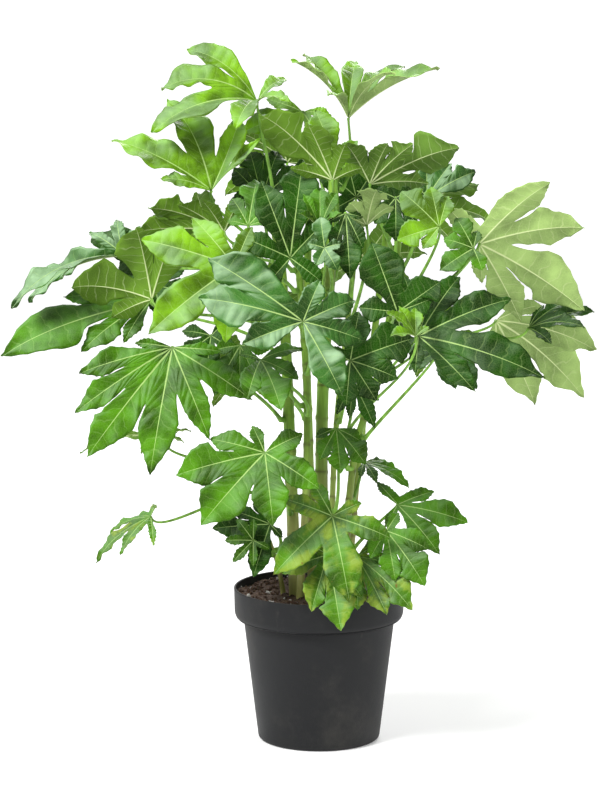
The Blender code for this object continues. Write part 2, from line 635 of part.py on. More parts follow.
def pot_inside(offset=0.0):
    """The inside of the pot from its floor up, in radius and height, drawn in by an offset."""
    collar = POT_HEIGHT - COLLAR_HEIGHT
    return [
        (BASE_RADIUS - WALL - offset, WALL + offset),
        (BODY_TOP_RADIUS - WALL - offset, collar + WALL + offset),
        (RIM_RADIUS - WALL - offset, collar + 2 * WALL + offset),
    ]


def build_pot(collection):
    """A tapered shell with a deep collar, an open top and drain holes in its floor."""
    collar = POT_HEIGHT - COLLAR_HEIGHT
    outside = [
        (RIM_RADIUS - 1.2 * MM, POT_HEIGHT),
        (RIM_RADIUS, POT_HEIGHT - 1.2 * MM),
        (RIM_RADIUS - 1 * MM, collar + 4 * MM),
        (RIM_RADIUS - 3.5 * MM, collar),
        (BODY_TOP_RADIUS, collar),
        (BASE_RADIUS, FOOT_ROUND),
        (BASE_RADIUS - 0.3 * FOOT_ROUND, 0.3 * FOOT_ROUND),
        (BASE_RADIUS - FOOT_ROUND, 0),
        (0, 0),
    ]
    inside = [(0, WALL), *pot_inside(), (RIM_RADIUS - WALL, POT_HEIGHT)]
    profile = inside + outside
    pot = turned("pot", profile, material("pot_plastic"), collection)
    cutters = []
    for hole in range(DRAIN_HOLES):
        turn = 2 * math.pi * hole / DRAIN_HOLES
        x, y = DRAIN_CIRCLE * math.cos(turn), DRAIN_CIRCLE * math.sin(turn)
        cutters.append(tube([(x, y, -WALL), (x, y, 3 * WALL)], [DRAIN_RADIUS] * 2, 2))
    combine(pot, cutters, "DIFFERENCE")


def build_soil(collection, canes):
    """Peat that fills the pot to just under its rim, heaped unevenly, with a hole for each cane."""
    walls = pot_inside(GAP)
    brim = RIM_RADIUS - WALL - GAP
    top = [(brim * ring / SOIL_RINGS, SOIL_LEVEL) for ring in range(SOIL_RINGS + 1)]
    soil = turned("soil", top + walls[::-1] + [(0, WALL + GAP)], material("soil"), collection)
    for vertex in soil.data.vertices:
        x, y, z = vertex.co
        if abs(z - SOIL_LEVEL) < MM:
            wave = math.sin(61 * x + 1.3) * math.cos(53 * y) + 0.6 * math.sin(97 * y + 71 * x)
            vertex.co.z = SOIL_LEVEL + SOIL_BUMPS * wave
    cutters = []
    for path, radii in canes.values():
        below = path[0] - (0, 0, GAP)
        lift = path[2] - path[1]
        above = path[1] + lift * 0.9
        cutters.append(tube([below, path[1], above], [radius + GAP for radius in (radii[0], *radii[:2])], 2))
    combine(soil, cutters, "DIFFERENCE")


def build_plant(collection, canes):
    """The canes first, then each leaf in the order of the list, settled clear of what stands."""
    stems = {name: tube(path, radii, 2) for name, (path, radii) in canes.items()}
    trees = {made.name: [tree_of(made.data)] for made in collection.objects}
    trees.update({name: [tree_of(mesh)] for name, mesh in stems.items()})
    parts = {}
    for seed, row in enumerate(LEAVES):
        blade = Blade(row, seed)
        node, cane = row["node"], row["cane"]
        own = None if node == cane else trees[cane][0]
        placed = [tree for name in trees for tree in trees[name] if tree is not own and name != node]
        sheet, stalk = settle(blade, canes[cane], row["foot"], own, placed)
        trees.setdefault(node, [])
        trees[node] += [tree_of(sheet), tree_of(stalk)]
        parts.setdefault(node, [row["tone"]]).append((sheet, stalk))
    for name, mesh in stems.items():
        holder = add_object(name, mesh, material("cane"), collection)
        if name in parts:
            combine(holder, [mesh for pair in parts.pop(name)[1:] for mesh in pair], "UNION")
    for name, (tone, *pairs) in parts.items():
        sheet, stalk = pairs[0]
        holder = add_object(name, stalk, material(tone), collection)
        combine(holder, [sheet], "UNION")


def main():
    for old in list(bpy.data.objects):
        bpy.data.objects.remove(old)
    collection = bpy.data.collections.new("potted_fatsia")
    bpy.context.scene.collection.children.link(collection)
    canes = {name: cane_path(entry) for name, entry in {**CANES, **SHOOTS}.items()}
    build_pot(collection)
    build_soil(collection, canes)
    build_plant(collection, canes)


if __name__ == "__main__":
    main()
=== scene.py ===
"""Dresses the potted fatsia: fine leaves, canes, shoots, pot and soil, and a pale studio.

Lengths in the layout rows are in mm, as they were read. Everything that is built is in metres.
"""

import math

import bpy
import numpy as np
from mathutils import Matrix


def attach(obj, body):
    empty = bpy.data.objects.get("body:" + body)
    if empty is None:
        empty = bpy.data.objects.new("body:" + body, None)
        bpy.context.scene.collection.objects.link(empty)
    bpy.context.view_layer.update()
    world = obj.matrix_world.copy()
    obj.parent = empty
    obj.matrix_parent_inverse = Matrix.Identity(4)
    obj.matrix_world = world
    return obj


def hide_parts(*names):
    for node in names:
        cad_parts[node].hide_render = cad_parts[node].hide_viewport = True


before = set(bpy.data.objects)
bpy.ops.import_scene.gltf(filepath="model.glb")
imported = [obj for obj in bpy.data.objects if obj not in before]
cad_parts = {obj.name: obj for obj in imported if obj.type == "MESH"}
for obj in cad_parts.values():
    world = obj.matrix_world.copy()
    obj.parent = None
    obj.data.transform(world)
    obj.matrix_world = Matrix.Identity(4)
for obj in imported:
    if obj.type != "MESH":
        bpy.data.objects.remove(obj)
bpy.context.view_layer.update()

bl_info = {
    "name": "Potted fatsia",
    "version": (1, 0, 0),
    "blender": (4, 5, 0),
    "location": "3D View > Sidebar > Fatsia",
    "description": "Builds the leaves, canes, pot, soil and studio of a potted fatsia",
    "category": "Add Mesh",
}

MM = 0.001

# The pot and what fills it, as in the solids.
POT_HEIGHT = 190 * MM
RIM_RADIUS = 105 * MM
COLLAR_HEIGHT = 38 * MM
BODY_TOP_RADIUS = 93 * MM
BASE_RADIUS = 75 * MM
WALL = 2.4 * MM
FOOT_ROUND = 5 * MM
DRAIN_HOLES = 6
DRAIN_RADIUS = 5 * MM
DRAIN_CIRCLE = 48 * MM
SOIL_LEVEL = 181 * MM
SOIL_BUMPS = 2.0 * MM
CANE_DEPTH = 70 * MM
GAP = 0.3 * MM

# The form of a blade, as in the solids.
PETIOLE_FOOT_RADIUS = 3.0 * MM
PETIOLE_TIP_RADIUS = 1.8 * MM
PETIOLE_POINTS = 5
FOOT_ROOM = 7 * MM
STALK_SPREAD = 5 * MM
FLAT_STALK = 0.25
LOBE_WIDTH = 0.16
WIDTH_VARIES = 0.08
SINUS = 0.42
SINUS_VARIES = 0.06
LONGEST_WEB = 0.53
DROOP = 30
DROOP_VARIES = 9
CURL = 10
CURL_VARIES = (-8, 12)
FOLD = 14
TWIST_VARIES = 11
LOBE_GAP = 34
GAP_LIMITS = (0.55, 1.5)
FREE_FROM = 0.38
FREE_SPAN = 0.3
WEDGE = 0.96
WIDEST_ROOM = math.radians(75)
PAST_FROM = 0.8
PAST_SPAN = 0.3
PAST_ROOM = 3
OUTER_ROOT = (0.3, 0.55)
ARC_POINTS, ARC_WEIGHTS = np.polynomial.legendre.leggauss(6)
ARC_POINTS = (ARC_POINTS + 1) / 2
ARC_WEIGHTS = ARC_WEIGHTS / 2

# How far a leaf may have slid in the solids, and how its stalk may leave the cane there.
SLIDES = sorted((step * 6 * MM for step in range(-16, 17)), key=abs)
SIGHT = np.array([0, 1, -0.157])
RAISES = (0, 12 * MM, -12 * MM, 24 * MM, -24 * MM, 40 * MM, -40 * MM, 60 * MM, -60 * MM, 90 * MM, -90 * MM)
SWAYS = (0, 0.35, -0.35, 0.8, -0.8, 1.4, -1.4)

# Each tone of leaf: the colour of its upper side and of its underside, and how strong its painted sheen is: a painted
# highlight that lightens the upper side where it faces the key light. The mint tone is a dark green leaf whose mint
# look is this painted highlight at full strength.
TONES = {
    "dark": ((0.011, 0.055, 0.001), (0.09, 0.18, 0.02), 0.15),
    "mid": ((0.05, 0.16, 0.003), (0.105, 0.21, 0.018), 0.25),
    "lime": ((0.135, 0.3, 0.008), (0.29, 0.42, 0.13), 0.5),
    # Dark green upper side; its pale mint look is painted light, from the painted sheen at full strength.
    "mint": ((0.03, 0.105, 0.015), (0.11, 0.21, 0.03), 1.0),
    "mottled": ((0.055, 0.165, 0.004), (0.2, 0.3, 0.07), 0.35),
}

# The studio: how far the floor reaches, the lights (name, place, size and share of the key light's strength), and the
# way that the painted sheen of the leaves faces: towards the key light, where a painted highlight is put on the upper
# side.
FLOOR_REACH = 60
LIGHTS = (
    ("key", (-2.0, -2.0, 3.1), 1.4, 1.0),
    ("fill", (2.6, -1.8, 1.5), 2.2, 0.2),
    ("rim", (0.8, 2.6, 2.4), 2.0, 0.5),
)
GLOW_FROM = (0.6, 7)
# Painted highlight: the direction towards the key light, where the leaves' upper colour is lightened.
PAINTED_SHEEN_WAY = (-0.42, -0.5, 0.757)
FIRST_CANE_SEED = 40


# Each cane: its radius at the soil and at its top, and the points that it rises through, in mm.
CANES = {
    "cane_1": (8.0, 5.5, [(-29, -8, 180), (-36, -4, 373), (-41, 0, 497), (-47, 6, 590), (-60, 12, 668)]),
    "cane_2": (
        4.6, 4.0, [(-24, -30, 180), (-17, -28, 300), (-15, -24, 420), (-20, -22, 520), (-28, -18, 620)]
    ),
    "cane_3": (8.5, 6.0, [(6, 16, 180), (3, 11, 323), (5, 8, 447), (12, 6, 558), (17, 8, 690)]),
    "cane_4": (
        4.6, 3.8, [(30, -6, 180), (36, -9, 290), (46, -11, 373), (66, -11, 435), (84, -9, 520), (96, -4, 620)]
    ),
    "cane_5": (3.6, 3.2, [(15, -22, 180), (16, -24, 300), (21, -20, 400), (32, -14, 500), (44, -4, 610)]),
    "cane_6": (6.0, 4.5, [(-8, 42, 180), (-12, 52, 350), (-16, 64, 500), (-12, 74, 650)]),
    "cane_7": (5.0, 4.0, [(36, 34, 180), (48, 50, 330), (66, 68, 470), (82, 82, 610)]),
}

# Short leafy stems from the soil, in the same form. Each is one piece with its leaves.
SHOOTS = {
    "shoot_left": (3.2, 2.2, [(-44, 2, 180), (-50, -6, 215), (-58, -22, 245)]),
    "shoot_front": (3.0, 2.2, [(14, -46, 180), (16, -52, 205), (20, -58, 232)]),
    "shoot_right": (3.4, 2.4, [(52, -14, 180), (58, -22, 215), (70, -26, 250)]),
}

LEAVES = []


def leaf(node, cane, foot, hub, tips, face=30, side=0, tone="mid", **shape):
    """Notes one leaf, in mm and degrees.

    foot is how high its stalk leaves the cane, hub is where the ribs meet, and tips are how far
    each lobe reaches from there, across and up, and for some also towards the viewer. face turns
    the upper side from the viewer (0) to the sky (90) and away (180), and side turns it to the
    right. shape holds what differs from a plain lobe: its width, cut, droop, curl or fold.
    """
    LEAVES.append(
        dict(shape, node=node, cane=cane, foot=foot, hub=hub, tips=tips, face=face, side=side, tone=tone)
    )


# Front of the crown
leaf("front_leaf_1", "cane_2", 505, (-20, -200, 545),
     ((-110, 70), (-120, 25), (-70, -25), (20, 45, -25), (60, 20, -35), (70, -25, -20),
      (45, -80)), 25, tone="mint", width=0.22, cut=0.5, droop=26)
leaf("front_leaf_2", "cane_2", 560, (-100, -125, 600),
     ((-50, 55), (-110, 30), (-100, -75), (-10, -85), (30, -20),
      (20, 45)), 25, tone="lime", width=0.2, cut=0.45)
leaf("front_leaf_3", "cane_4", 410, (115, -140, 520),
     ((145, -45), (65, -60), (110, 40), (50, 65), (-5, -40), (20, 55)), 35, tone="dark", width=0.17)
leaf("front_leaf_4", "cane_5", 400, (35, -165, 495),
     ((55, -20), (30, -45), (-5, -50), (-30, 10), (10, 55), (75, 25)), 20, tone="dark", width=0.3, cut=0.6)
leaf("front_leaf_5", "cane_4", 470, (90, -150, 550),
     ((-30, 80), (50, 35), (40, 15), (-45, 5), (5, -35)), 10, tone="dark", width=0.32, cut=0.5)
leaf("front_leaf_6", "cane_1", 400, (-175, -90, 500),
     ((-45, 5), (-110, -30), (-115, -75), (-100, -125), (-25, -145), (45, -105), (95, -60),
      (60, -5)), 20, width=0.14, cut=0.45, fold=8)
leaf("front_leaf_7", "cane_1", 285, (-65, -130, 380),
     ((-15, 30), (-65, 15), (-105, -25), (-75, -80), (10, -80), (65, -40),
      (45, 20)), 25, width=0.24, cut=0.6, fold=10)
leaf("front_leaf_8", "cane_3", 540, (-35, -75, 605),
     ((15, 115), (-35, 90), (-60, 25), (-35, -40), (40, -30), (50, 50)), 15, tone="dark", width=0.22)

# Top of the crown
leaf("top_leaf_1", "cane_1", 655, (-75, 10, 785),
     ((35, 25, -30), (-85, 60, -20), (-115, 15, 20), (-125, -35, 45), (-25, -30, 60),
      (40, 0, 30)), 60, tone="lime", droop=62, curl=16, width=0.22, cut=0.36)
leaf("top_leaf_2", "cane_3", 680, (35, 20, 765),
     ((-70, 70, 15), (-55, 75, -45), (10, 65, -70), (70, 60, -50), (110, 60, 10), (55, 55, 60),
      (-25, 30, 60)), 85, tone="lime", droop=36, width=0.21, cut=0.4)
leaf("top_leaf_3", "cane_1", 600, (-130, -20, 680),
     ((-120, 60, -10), (-55, 105, -45), (35, 90, -30), (60, 65, 20),
      (-60, 15, 15)), 45, 25, tone="lime", droop=34, width=0.2, cut=0.42)
leaf("top_leaf_4", "cane_3", 650, (-20, 60, 770),
     ((-45, 15), (-75, -25), (-55, -35), (-15, -30), (20, -35), (35, -5)), 35, tone="lime", width=0.2)
leaf("top_leaf_5", "cane_3", 600, (15, -60, 695),
     ((-85, 80), (-50, 15), (-30, 70), (15, 45), (35, 15)), 150, width=0.22)
leaf("top_leaf_6", "cane_4", 600, (60, -45, 690),
     ((-30, 50), (20, 50), (50, 50), (105, 45), (70, 0)), 150, tone="mint", width=0.24, cut=0.5)
leaf("top_leaf_7", "cane_3", 620, (20, -30, 715),
     ((-25, 60), (-40, 30), (-20, 5), (20, -10), (25, 25)), 20, tone="lime", width=0.26)
leaf("top_leaf_8", "cane_4", 585, (130, 0, 670),
     ((60, 30), (30, 40), (0, 40), (-25, 25), (25, -10)), 30, tone="mint", width=0.22)
leaf("top_leaf_9", "cane_3", 570, (45, 20, 670),
     ((-45, 35), (-15, 55), (35, 50), (60, 15), (35, -25),
      (-35, -20)), 20, tone="dark", width=0.28, cut=0.55)
leaf("top_leaf_10", "cane_1", 570, (-70, 5, 670),
     ((-35, 35), (-15, 55), (20, 55), (45, 35), (35, -10),
      (-40, -5)), 35, tone="dark", width=0.28, cut=0.55)

# Left of the crown
leaf("left_leaf_1", "cane_1", 560, (-235, -10, 600),
     ((-10, 40, -40), (-45, 25, -30), (-95, -35, -45), (-115, -55, 15), (-130, -55, 75),
      (30, 30, -40)), 50, -20, tone="mint", droop=56, width=0.14)
leaf("left_leaf_2", "cane_1", 500, (-200, -70, 555),
     ((-15, 90), (-95, 15), (-50, -25), (25, 75)), 150, width=0.3, cut=0.4)
leaf("left_leaf_3", "cane_1", 480, (-205, -45, 550),
     ((-175, -60), (-105, 5), (-80, -55), (-30, -45), (-35, 30)), 40, width=0.17, fold=8)
leaf("left_leaf_4", "cane_1", 575, (-115, 15, 625),
     ((-55, 35), (-90, 30), (-110, 0), (-45, -15), (-25, 40), (20, 40)), 150, width=0.2)
leaf("left_leaf_5", "cane_2", 585, (-85, -50, 640),
     ((-25, 5), (-20, 30), (10, 50), (45, 35), (35, 5)), 45, width=0.26, cut=0.5)
leaf("left_leaf_6", "cane_1", 520, (-200, 25, 560),
     ((-80, 60), (0, 40), (35, 30), (45, -10), (5, -35), (-45, 30)), 25, tone="dark", width=0.3, cut=0.5)

# Middle of the crown
leaf("middle_leaf_1", "cane_5", 520, (55, -90, 645),
     ((-20, 30), (10, 45), (30, 25), (-25, 10), (-20, -10)), 130, tone="lime", width=0.26)
leaf("middle_leaf_2", "cane_3", 555, (0, -85, 640),
     ((-20, 40, -10), (0, 45, -35), (20, 40, -20), (-25, 20, 25), (25, 20, 20)), 60, width=0.26)
leaf("middle_leaf_3", "cane_2", 460, (5, -115, 620),
     ((-20, 5), (-5, 35), (20, 5), (-10, -20), (15, -25)), 25, tone="mint", width=0.3, cut=0.6)
leaf("middle_leaf_4", "cane_5", 540, (30, -100, 660),
     ((5, -75), (-15, -45), (20, -40), (20, -5), (-20, -10)), 20, tone="dark", width=0.2, cut=0.36)
leaf("middle_leaf_5", "cane_4", 520, (140, -105, 645),
     ((-45, 40), (-50, -15), (-10, 45), (10, 35), (-20, -25)), 20, tone="lime", width=0.3, cut=0.6)
leaf("middle_leaf_6", "cane_4", 555, (90, -60, 675),
     ((0, -50), (-25, -30), (-25, 10), (20, 10), (25, -30)), 20, tone="dark", width=0.3, cut=0.55)
leaf("cane_4", "cane_4", 450, (110, -95, 555),
     ((25, 25, -20), (35, 25, 15), (-10, 30), (35, 0), (15, -20)), 20, tone="dark", width=0.16)
leaf("cane_4", "cane_4", 430, (110, -180, 525),
     ((-35, 30, 15), (-20, 35, -5), (0, 30, -25), (-30, 5, 30), (15, 10, -10)), 55, tone="lime", width=0.24)

# Right of the crown
leaf("right_leaf_1", "cane_4", 495, (190, -60, 620),
     ((-40, 45), (80, 75), (125, 20), (130, -85), (55, -100),
      (5, -50)), 155, tone="lime", width=0.19, cut=0.4)
leaf("right_leaf_2", "cane_7", 450, (215, 5, 520),
     ((125, -40), (115, -105), (55, -115), (5, -65), (55, 20)), 150, tone="lime", width=0.19, cut=0.5)
leaf("right_leaf_3", "cane_7", 480, (255, 40, 505),
     ((80, 20, 0), (65, 5, 35), (20, 25, -20), (55, 30, -30), (25, -15, 35)), 60, tone="dark", width=0.15)
leaf("right_leaf_4", "cane_4", 380, (140, -90, 495),
     ((45, -40), (20, -40), (-35, -20), (-40, 0), (45, -10)), 40, tone="mint", width=0.24)
leaf("right_leaf_5", "cane_4", 480, (180, -110, 620),
     ((-40, -25), (-35, 10), (-20, 35), (5, 20), (10, -25)), 25, width=0.3, cut=0.6)

# Below the crown
leaf("low_leaf_1", "cane_1", 430, (-130, -60, 510),
     ((-35, -30), (-35, 5), (-5, -45), (30, -20), (25, 20)), 30, tone="dark", width=0.26)
leaf("low_leaf_2", "cane_2", 420, (-95, -75, 500),
     ((-30, -55), (0, -50), (25, -50), (35, -5), (-30, -5)), 30, width=0.28, cut=0.5)
leaf("low_leaf_3", "cane_1", 310, (-190, -20, 380),
     ((-105, -30), (-60, -5), (-30, -30), (35, 10), (25, -10)), 120, width=0.12)
leaf("low_leaf_4", "cane_2", 370, (-70, -62, 480),
     ((-15, -40), (25, -50), (45, -20), (50, 10), (-25, 5)), 55, width=0.22)
leaf("cane_5", "cane_5", 350, (40, -42, 450),
     ((-20, -35), (-5, -40), (25, -50), (30, -20), (-15, 10)), 30, tone="dark", width=0.14)
leaf("cane_4", "cane_4", 300, (55, 0, 345),
     ((55, -30, 10), (30, -5, -25), (45, -15, -12), (15, -20, 30), (-5, -15, 25)), 60, width=0.15)
leaf("cane_5", "cane_5", 290, (20, -12, 390),
     ((-20, -35), (5, -50), (35, -40), (30, -15), (-25, -10)), 30, width=0.26)
leaf("low_leaf_8", "cane_2", 225, (15, -110, 300),
     ((-60, 20), (-70, -65), (20, -95), (70, -25), (35, 15),
      (-25, 40)), 25, tone="mottled", width=0.2, cut=0.5, fold=9)
leaf("low_leaf_9", "cane_4", 240, (95, -40, 300),
     ((85, -20), (45, 15), (-25, 25), (-15, -25), (50, -55)), 30, width=0.18, cut=0.36)

# Back of the crown
leaf("back_leaf_1", "cane_6", 640, (-40, 170, 700),
     ((-60, 40), (-100, 5), (-80, -45), (-20, 60), (45, 40), (55, -10)), 140)
leaf("back_leaf_2", "cane_6", 560, (-130, 150, 600),
     ((-20, 70), (-70, 50), (-100, 0), (-75, -50), (40, 40)), 130, -25)
leaf("back_leaf_3", "cane_7", 600, (120, 170, 640),
     ((-40, 60), (20, 70), (75, 40), (95, -10), (60, -55)), 130, 25)
leaf("back_leaf_4", "cane_7", 540, (60, 210, 570),
     ((-75, 30), (-30, 65), (40, 60), (80, 10), (65, -50), (-70, -40)), 145, tone="dark")
leaf("back_leaf_5", "cane_6", 470, (-60, 200, 540),
     ((-90, 20), (-50, 60), (20, 65), (-80, -45), (-20, -75), (45, -40)), 150, tone="dark")
leaf("back_leaf_6", "cane_7", 430, (130, 130, 470),
     ((-30, 50), (50, 55), (85, 5), (60, -45), (-5, -45)), 140, 15)
leaf("back_leaf_7", "cane_6", 390, (-90, 130, 440),
     ((-30, 50), (-75, 35), (-90, -15), (-45, -50), (25, -45)), 140, -15)

# Leaves of the short stems
leaf("shoot_left", "shoot_left", 240, (-80, -60, 260),
     ((-35, 0), (-25, -25), (0, -30), (20, -10), (0, 25), (-20, 25)), 20, width=0.17)
leaf("shoot_left", "shoot_left", 244, (-60, -35, 275),
     ((-70, -5), (-45, 15), (-20, 30), (-20, -60), (15, -15)), 25, tone="dark", width=0.2, cut=0.5)
leaf("shoot_front", "shoot_front", 226, (10, -98, 250),
     ((-55, -20), (-20, -60), (15, -80), (-35, 15), (40, -45)), 35, tone="mottled", width=0.22, cut=0.45)
leaf("shoot_front", "shoot_front", 230, (45, -85, 245),
     ((35, -60), (65, -55), (60, -15), (0, -55), (30, 15)), 40, tone="mottled", width=0.22, cut=0.45)
leaf("shoot_right", "shoot_right", 246, (80, -72, 275),
     ((45, -60), (10, -55), (50, -20), (-20, -30), (15, 20)), 30, width=0.26, cut=0.5)
leaf("cane_1", "cane_1", 300, (-205, -40, 285),
     ((-65, -55, 10), (-50, -25, -20), (-25, -20, -40), (5, 10, -25), (5, -30, 30),
      (-35, -40, 35)), 60, tone="mottled", width=0.1, droop=50)


def unit(vector):
    """The same direction, one long, along the last axis."""
    return vector / np.linalg.norm(vector, axis=-1, keepdims=True)


def smooth(t):
    """0 to 1 with flat ends."""
    t = np.clip(t, 0, 1)
    return t * t * (3 - 2 * t)


class Blade:
    """A fatsia blade: lobes round the hub, each bent down along its rib and folded up beside it."""

    def __init__(self, row, seed):
        rng = np.random.default_rng(seed)
        self.hub = np.array(row["hub"]) * MM
        face, side = np.radians([row["face"], row["side"]])
        self.normal = np.array(
            [math.sin(side), -math.cos(side) * math.cos(face), math.cos(side) * math.sin(face)]
        )
        rise, straight = self.place_lobes(self.reaches(row["tips"]))
        lobes = len(self.angles)
        self.droop = np.radians(row.get("droop", DROOP) + rng.uniform(-DROOP_VARIES, DROOP_VARIES, lobes))
        self.curl = np.radians(row.get("curl", CURL) + rng.uniform(*CURL_VARIES, lobes))
        self.lift = rise + self.droop / 2 + self.curl / 4
        self.twist = np.radians(rng.uniform(-TWIST_VARIES, TWIST_VARIES, lobes))
        self.fold = math.radians(row.get("fold", FOLD))
        slopes = self.lift - np.outer(ARC_POINTS, self.droop) - np.outer(ARC_POINTS**3, self.curl)
        self.lengths = straight / np.hypot(ARC_WEIGHTS @ np.cos(slopes), ARC_WEIGHTS @ np.sin(slopes))
        wide = 1 + rng.uniform(-WIDTH_VARIES, WIDTH_VARIES, lobes)
        self.widths = row.get("width", LOBE_WIDTH) * wide * self.lengths
        between = np.diff(self.angles)
        shorter = np.minimum(self.lengths[:-1], self.lengths[1:])
        openness = np.clip(between / math.radians(LOBE_GAP), *GAP_LIMITS)
        cut = row.get("cut", SINUS) * (1 + rng.uniform(-SINUS_VARIES, SINUS_VARIES, lobes - 1))
        self.sinuses = np.minimum(cut * openness**-0.6, LONGEST_WEB) * shorter
        around = np.append(between, 2 * math.pi - between.sum())
        self.beside = np.minimum(around / 2, WIDEST_ROOM)

    def room(self, lobe, along, turn):
        """How far out from its rib a lobe may reach on one side without crossing the next lobe."""
        other = (lobe + turn) % len(self.lengths)
        half = self.beside[lobe if turn > 0 else lobe - 1]
        past = smooth((along / self.lengths[other] - PAST_FROM) / PAST_SPAN)
        return WEDGE * along * np.tan(half) * (1 + PAST_ROOM * past)

    def reaches(self, tips):
        """From the hub to each tip. A tip that is given only across and up lies in the blade's plane."""
        steep = math.copysign(max(abs(self.normal[1]), 0.25), self.normal[1])
        found = []
        for across, up, *nearer in tips:
            far = 1.2 * math.hypot(across, up)
            depth = -(self.normal[0] * across + self.normal[2] * up) / steep
            found.append((across, -nearer[0] if nearer else min(max(depth, -far), far), up))
        return np.array(found) * MM

    def place_lobes(self, reach):
        """Sorts the lobes round the hub, starting after the widest gap, where the stalk comes in.

        Gives how steeply each tip stands over the blade's plane, and how far it is from the hub.
        """
        over = reach @ self.normal
        flat = reach - over[:, None] * self.normal
        ahead = unit(flat.sum(0))
        left = np.cross(self.normal, ahead)
        angles = np.arctan2(flat @ left, flat @ ahead)
        order = np.argsort(angles)
        gaps = np.diff(np.append(angles[order], angles[order[0]] + 2 * math.pi))
        order = np.roll(order, -int(np.argmax(gaps)) - 1)
        angles = angles[order]
        angles = np.where(angles < angles[0] - 1e-9, angles + 2 * math.pi, angles)
        middle = (angles[0] + angles[-1]) / 2
        self.ahead = math.cos(middle) * ahead + math.sin(middle) * left
        self.left = np.cross(self.normal, self.ahead)
        self.angles = angles - middle
        rise = np.arctan2(over, np.linalg.norm(flat, axis=1))
        return rise[order], np.linalg.norm(reach, axis=1)[order]

    def places(self, lobe, along, across):
        """Places on the blade, and the directions out of its upper side there.

        lobe, along and across are whole arrays. Each place lies at the radius and angle that
        (along, across) has round the hub. The ray to it climbs at the angle
        lift - droop * part - curl * part^3 at each part of the lobe's length, which the Gauss
        points add up, and the lobe's sides rise from its rib by the fold and the twist.
        """
        radius = np.hypot(along, across)
        angle = self.angles[lobe] + np.arctan2(across, along)
        own = smooth((along / self.lengths[lobe] - FREE_FROM) / FREE_SPAN)
        lift, droop, curl, length = [
            np.interp(angle, self.angles, values) * (1 - own) + values[lobe] * own
            for values in (self.lift, self.droop, self.curl, self.lengths)
        ]
        part = radius / length
        steps = part[..., None] * ARC_POINTS
        slopes = lift[..., None] - droop[..., None] * steps - curl[..., None] * steps**3
        out = radius * (np.cos(slopes) @ ARC_WEIGHTS)
        up = radius * (np.sin(slopes) @ ARC_WEIGHTS)
        slope = lift - droop * part - curl * part**3
        ray = np.cos(angle)[..., None] * self.ahead + np.sin(angle)[..., None] * self.left
        above = np.cos(slope)[..., None] * self.normal - np.sin(slope)[..., None] * ray
        rise = np.abs(across) * math.tan(self.fold) * smooth(4 * along / self.lengths[lobe])
        rise += across * np.tan(self.twist[lobe]) * own
        points = self.hub + out[..., None] * ray + up[..., None] * self.normal + rise[..., None] * above
        return points, above


def smooth_path(points, count):
    """Points along one smooth curve through the given ones: a cubic between each two."""
    points = np.array(points, float)
    slopes = np.gradient(points, axis=0)
    spans = len(points) - 1
    places = np.linspace(0, spans, count)
    index = np.minimum(places.astype(int), spans - 1)
    t = (places - index)[:, None]
    start, end = points[index], points[index + 1]
    return (
        (1 + 2 * t) * (1 - t) ** 2 * start
        + t * (1 - t) ** 2 * slopes[index]
        + t * t * (3 - 2 * t) * end
        + t * t * (t - 1) * slopes[index + 1]
    )


def cane_path(entry, count=None):
    """The axis of a cane from its foot in the soil to its top, in metres, and its radii."""
    foot_radius, top_radius, points = entry
    points = np.array(points, float) * MM
    count = count or max(6, 3 * (len(points) - 1))
    path = smooth_path(points, count)
    path = np.concatenate([[points[0] - (0, 0, CANE_DEPTH)], path])
    radii = np.interp(path[:, 2], path[[1, -1], 2], (foot_radius * MM, top_radius * MM))
    return path, radii


def stalk_path(blade, cane, foot, sway, grown, count=PETIOLE_POINTS):
    """The leaf stalk: square out of its cane, then in one cubic arch up to the hub from underneath."""
    path, radii = cane
    foot = float(np.clip(foot, SOIL_LEVEL + FOOT_ROOM, path[-1, 2] - FOOT_ROOM))
    start, above = [
        np.array([np.interp(height, path[:, 2], path[:, axis]) for axis in range(3)])
        for height in (foot, foot + STALK_SPREAD)
    ]
    radius = float(np.interp(foot, path[:, 2], radii))
    axis = unit(above - start)
    away = unit(np.cross(np.cross(axis, blade.hub - start), axis))
    bow = unit(away + sway * np.cross(axis, away))
    first = start if grown else start + bow * (radius + GAP)
    second = start + bow * (radius + GAP + STALK_SPREAD)
    arrive = unit(FLAT_STALK * blade.ahead + blade.normal)
    reach = np.linalg.norm(blade.hub - second)
    handle_out = second + (0.55 * bow + (0, 0, 0.75)) * 0.36 * reach
    handle_in = blade.hub - arrive * 0.26 * reach
    t = np.linspace(0, 1, count)[:, None]
    arch = (
        (1 - t) ** 3 * second
        + 3 * (1 - t) ** 2 * t * handle_out
        + 3 * (1 - t) * t * t * handle_in
        + t**3 * blade.hub
    )
    return np.concatenate([[first], arch])


def node_points(node):
    """The corners of a solid of the frame."""
    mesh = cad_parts[node].data
    points = np.empty(len(mesh.vertices) * 3, np.float32)
    mesh.vertices.foreach_get("co", points)
    return points.reshape(-1, 3).astype(float)


def nearest(places, points):
    """The distance from each place to the nearest point, for places in an array of any depth."""
    apart = np.linalg.norm(places[..., None, :] - points, axis=-1)
    return apart.min(axis=-1)


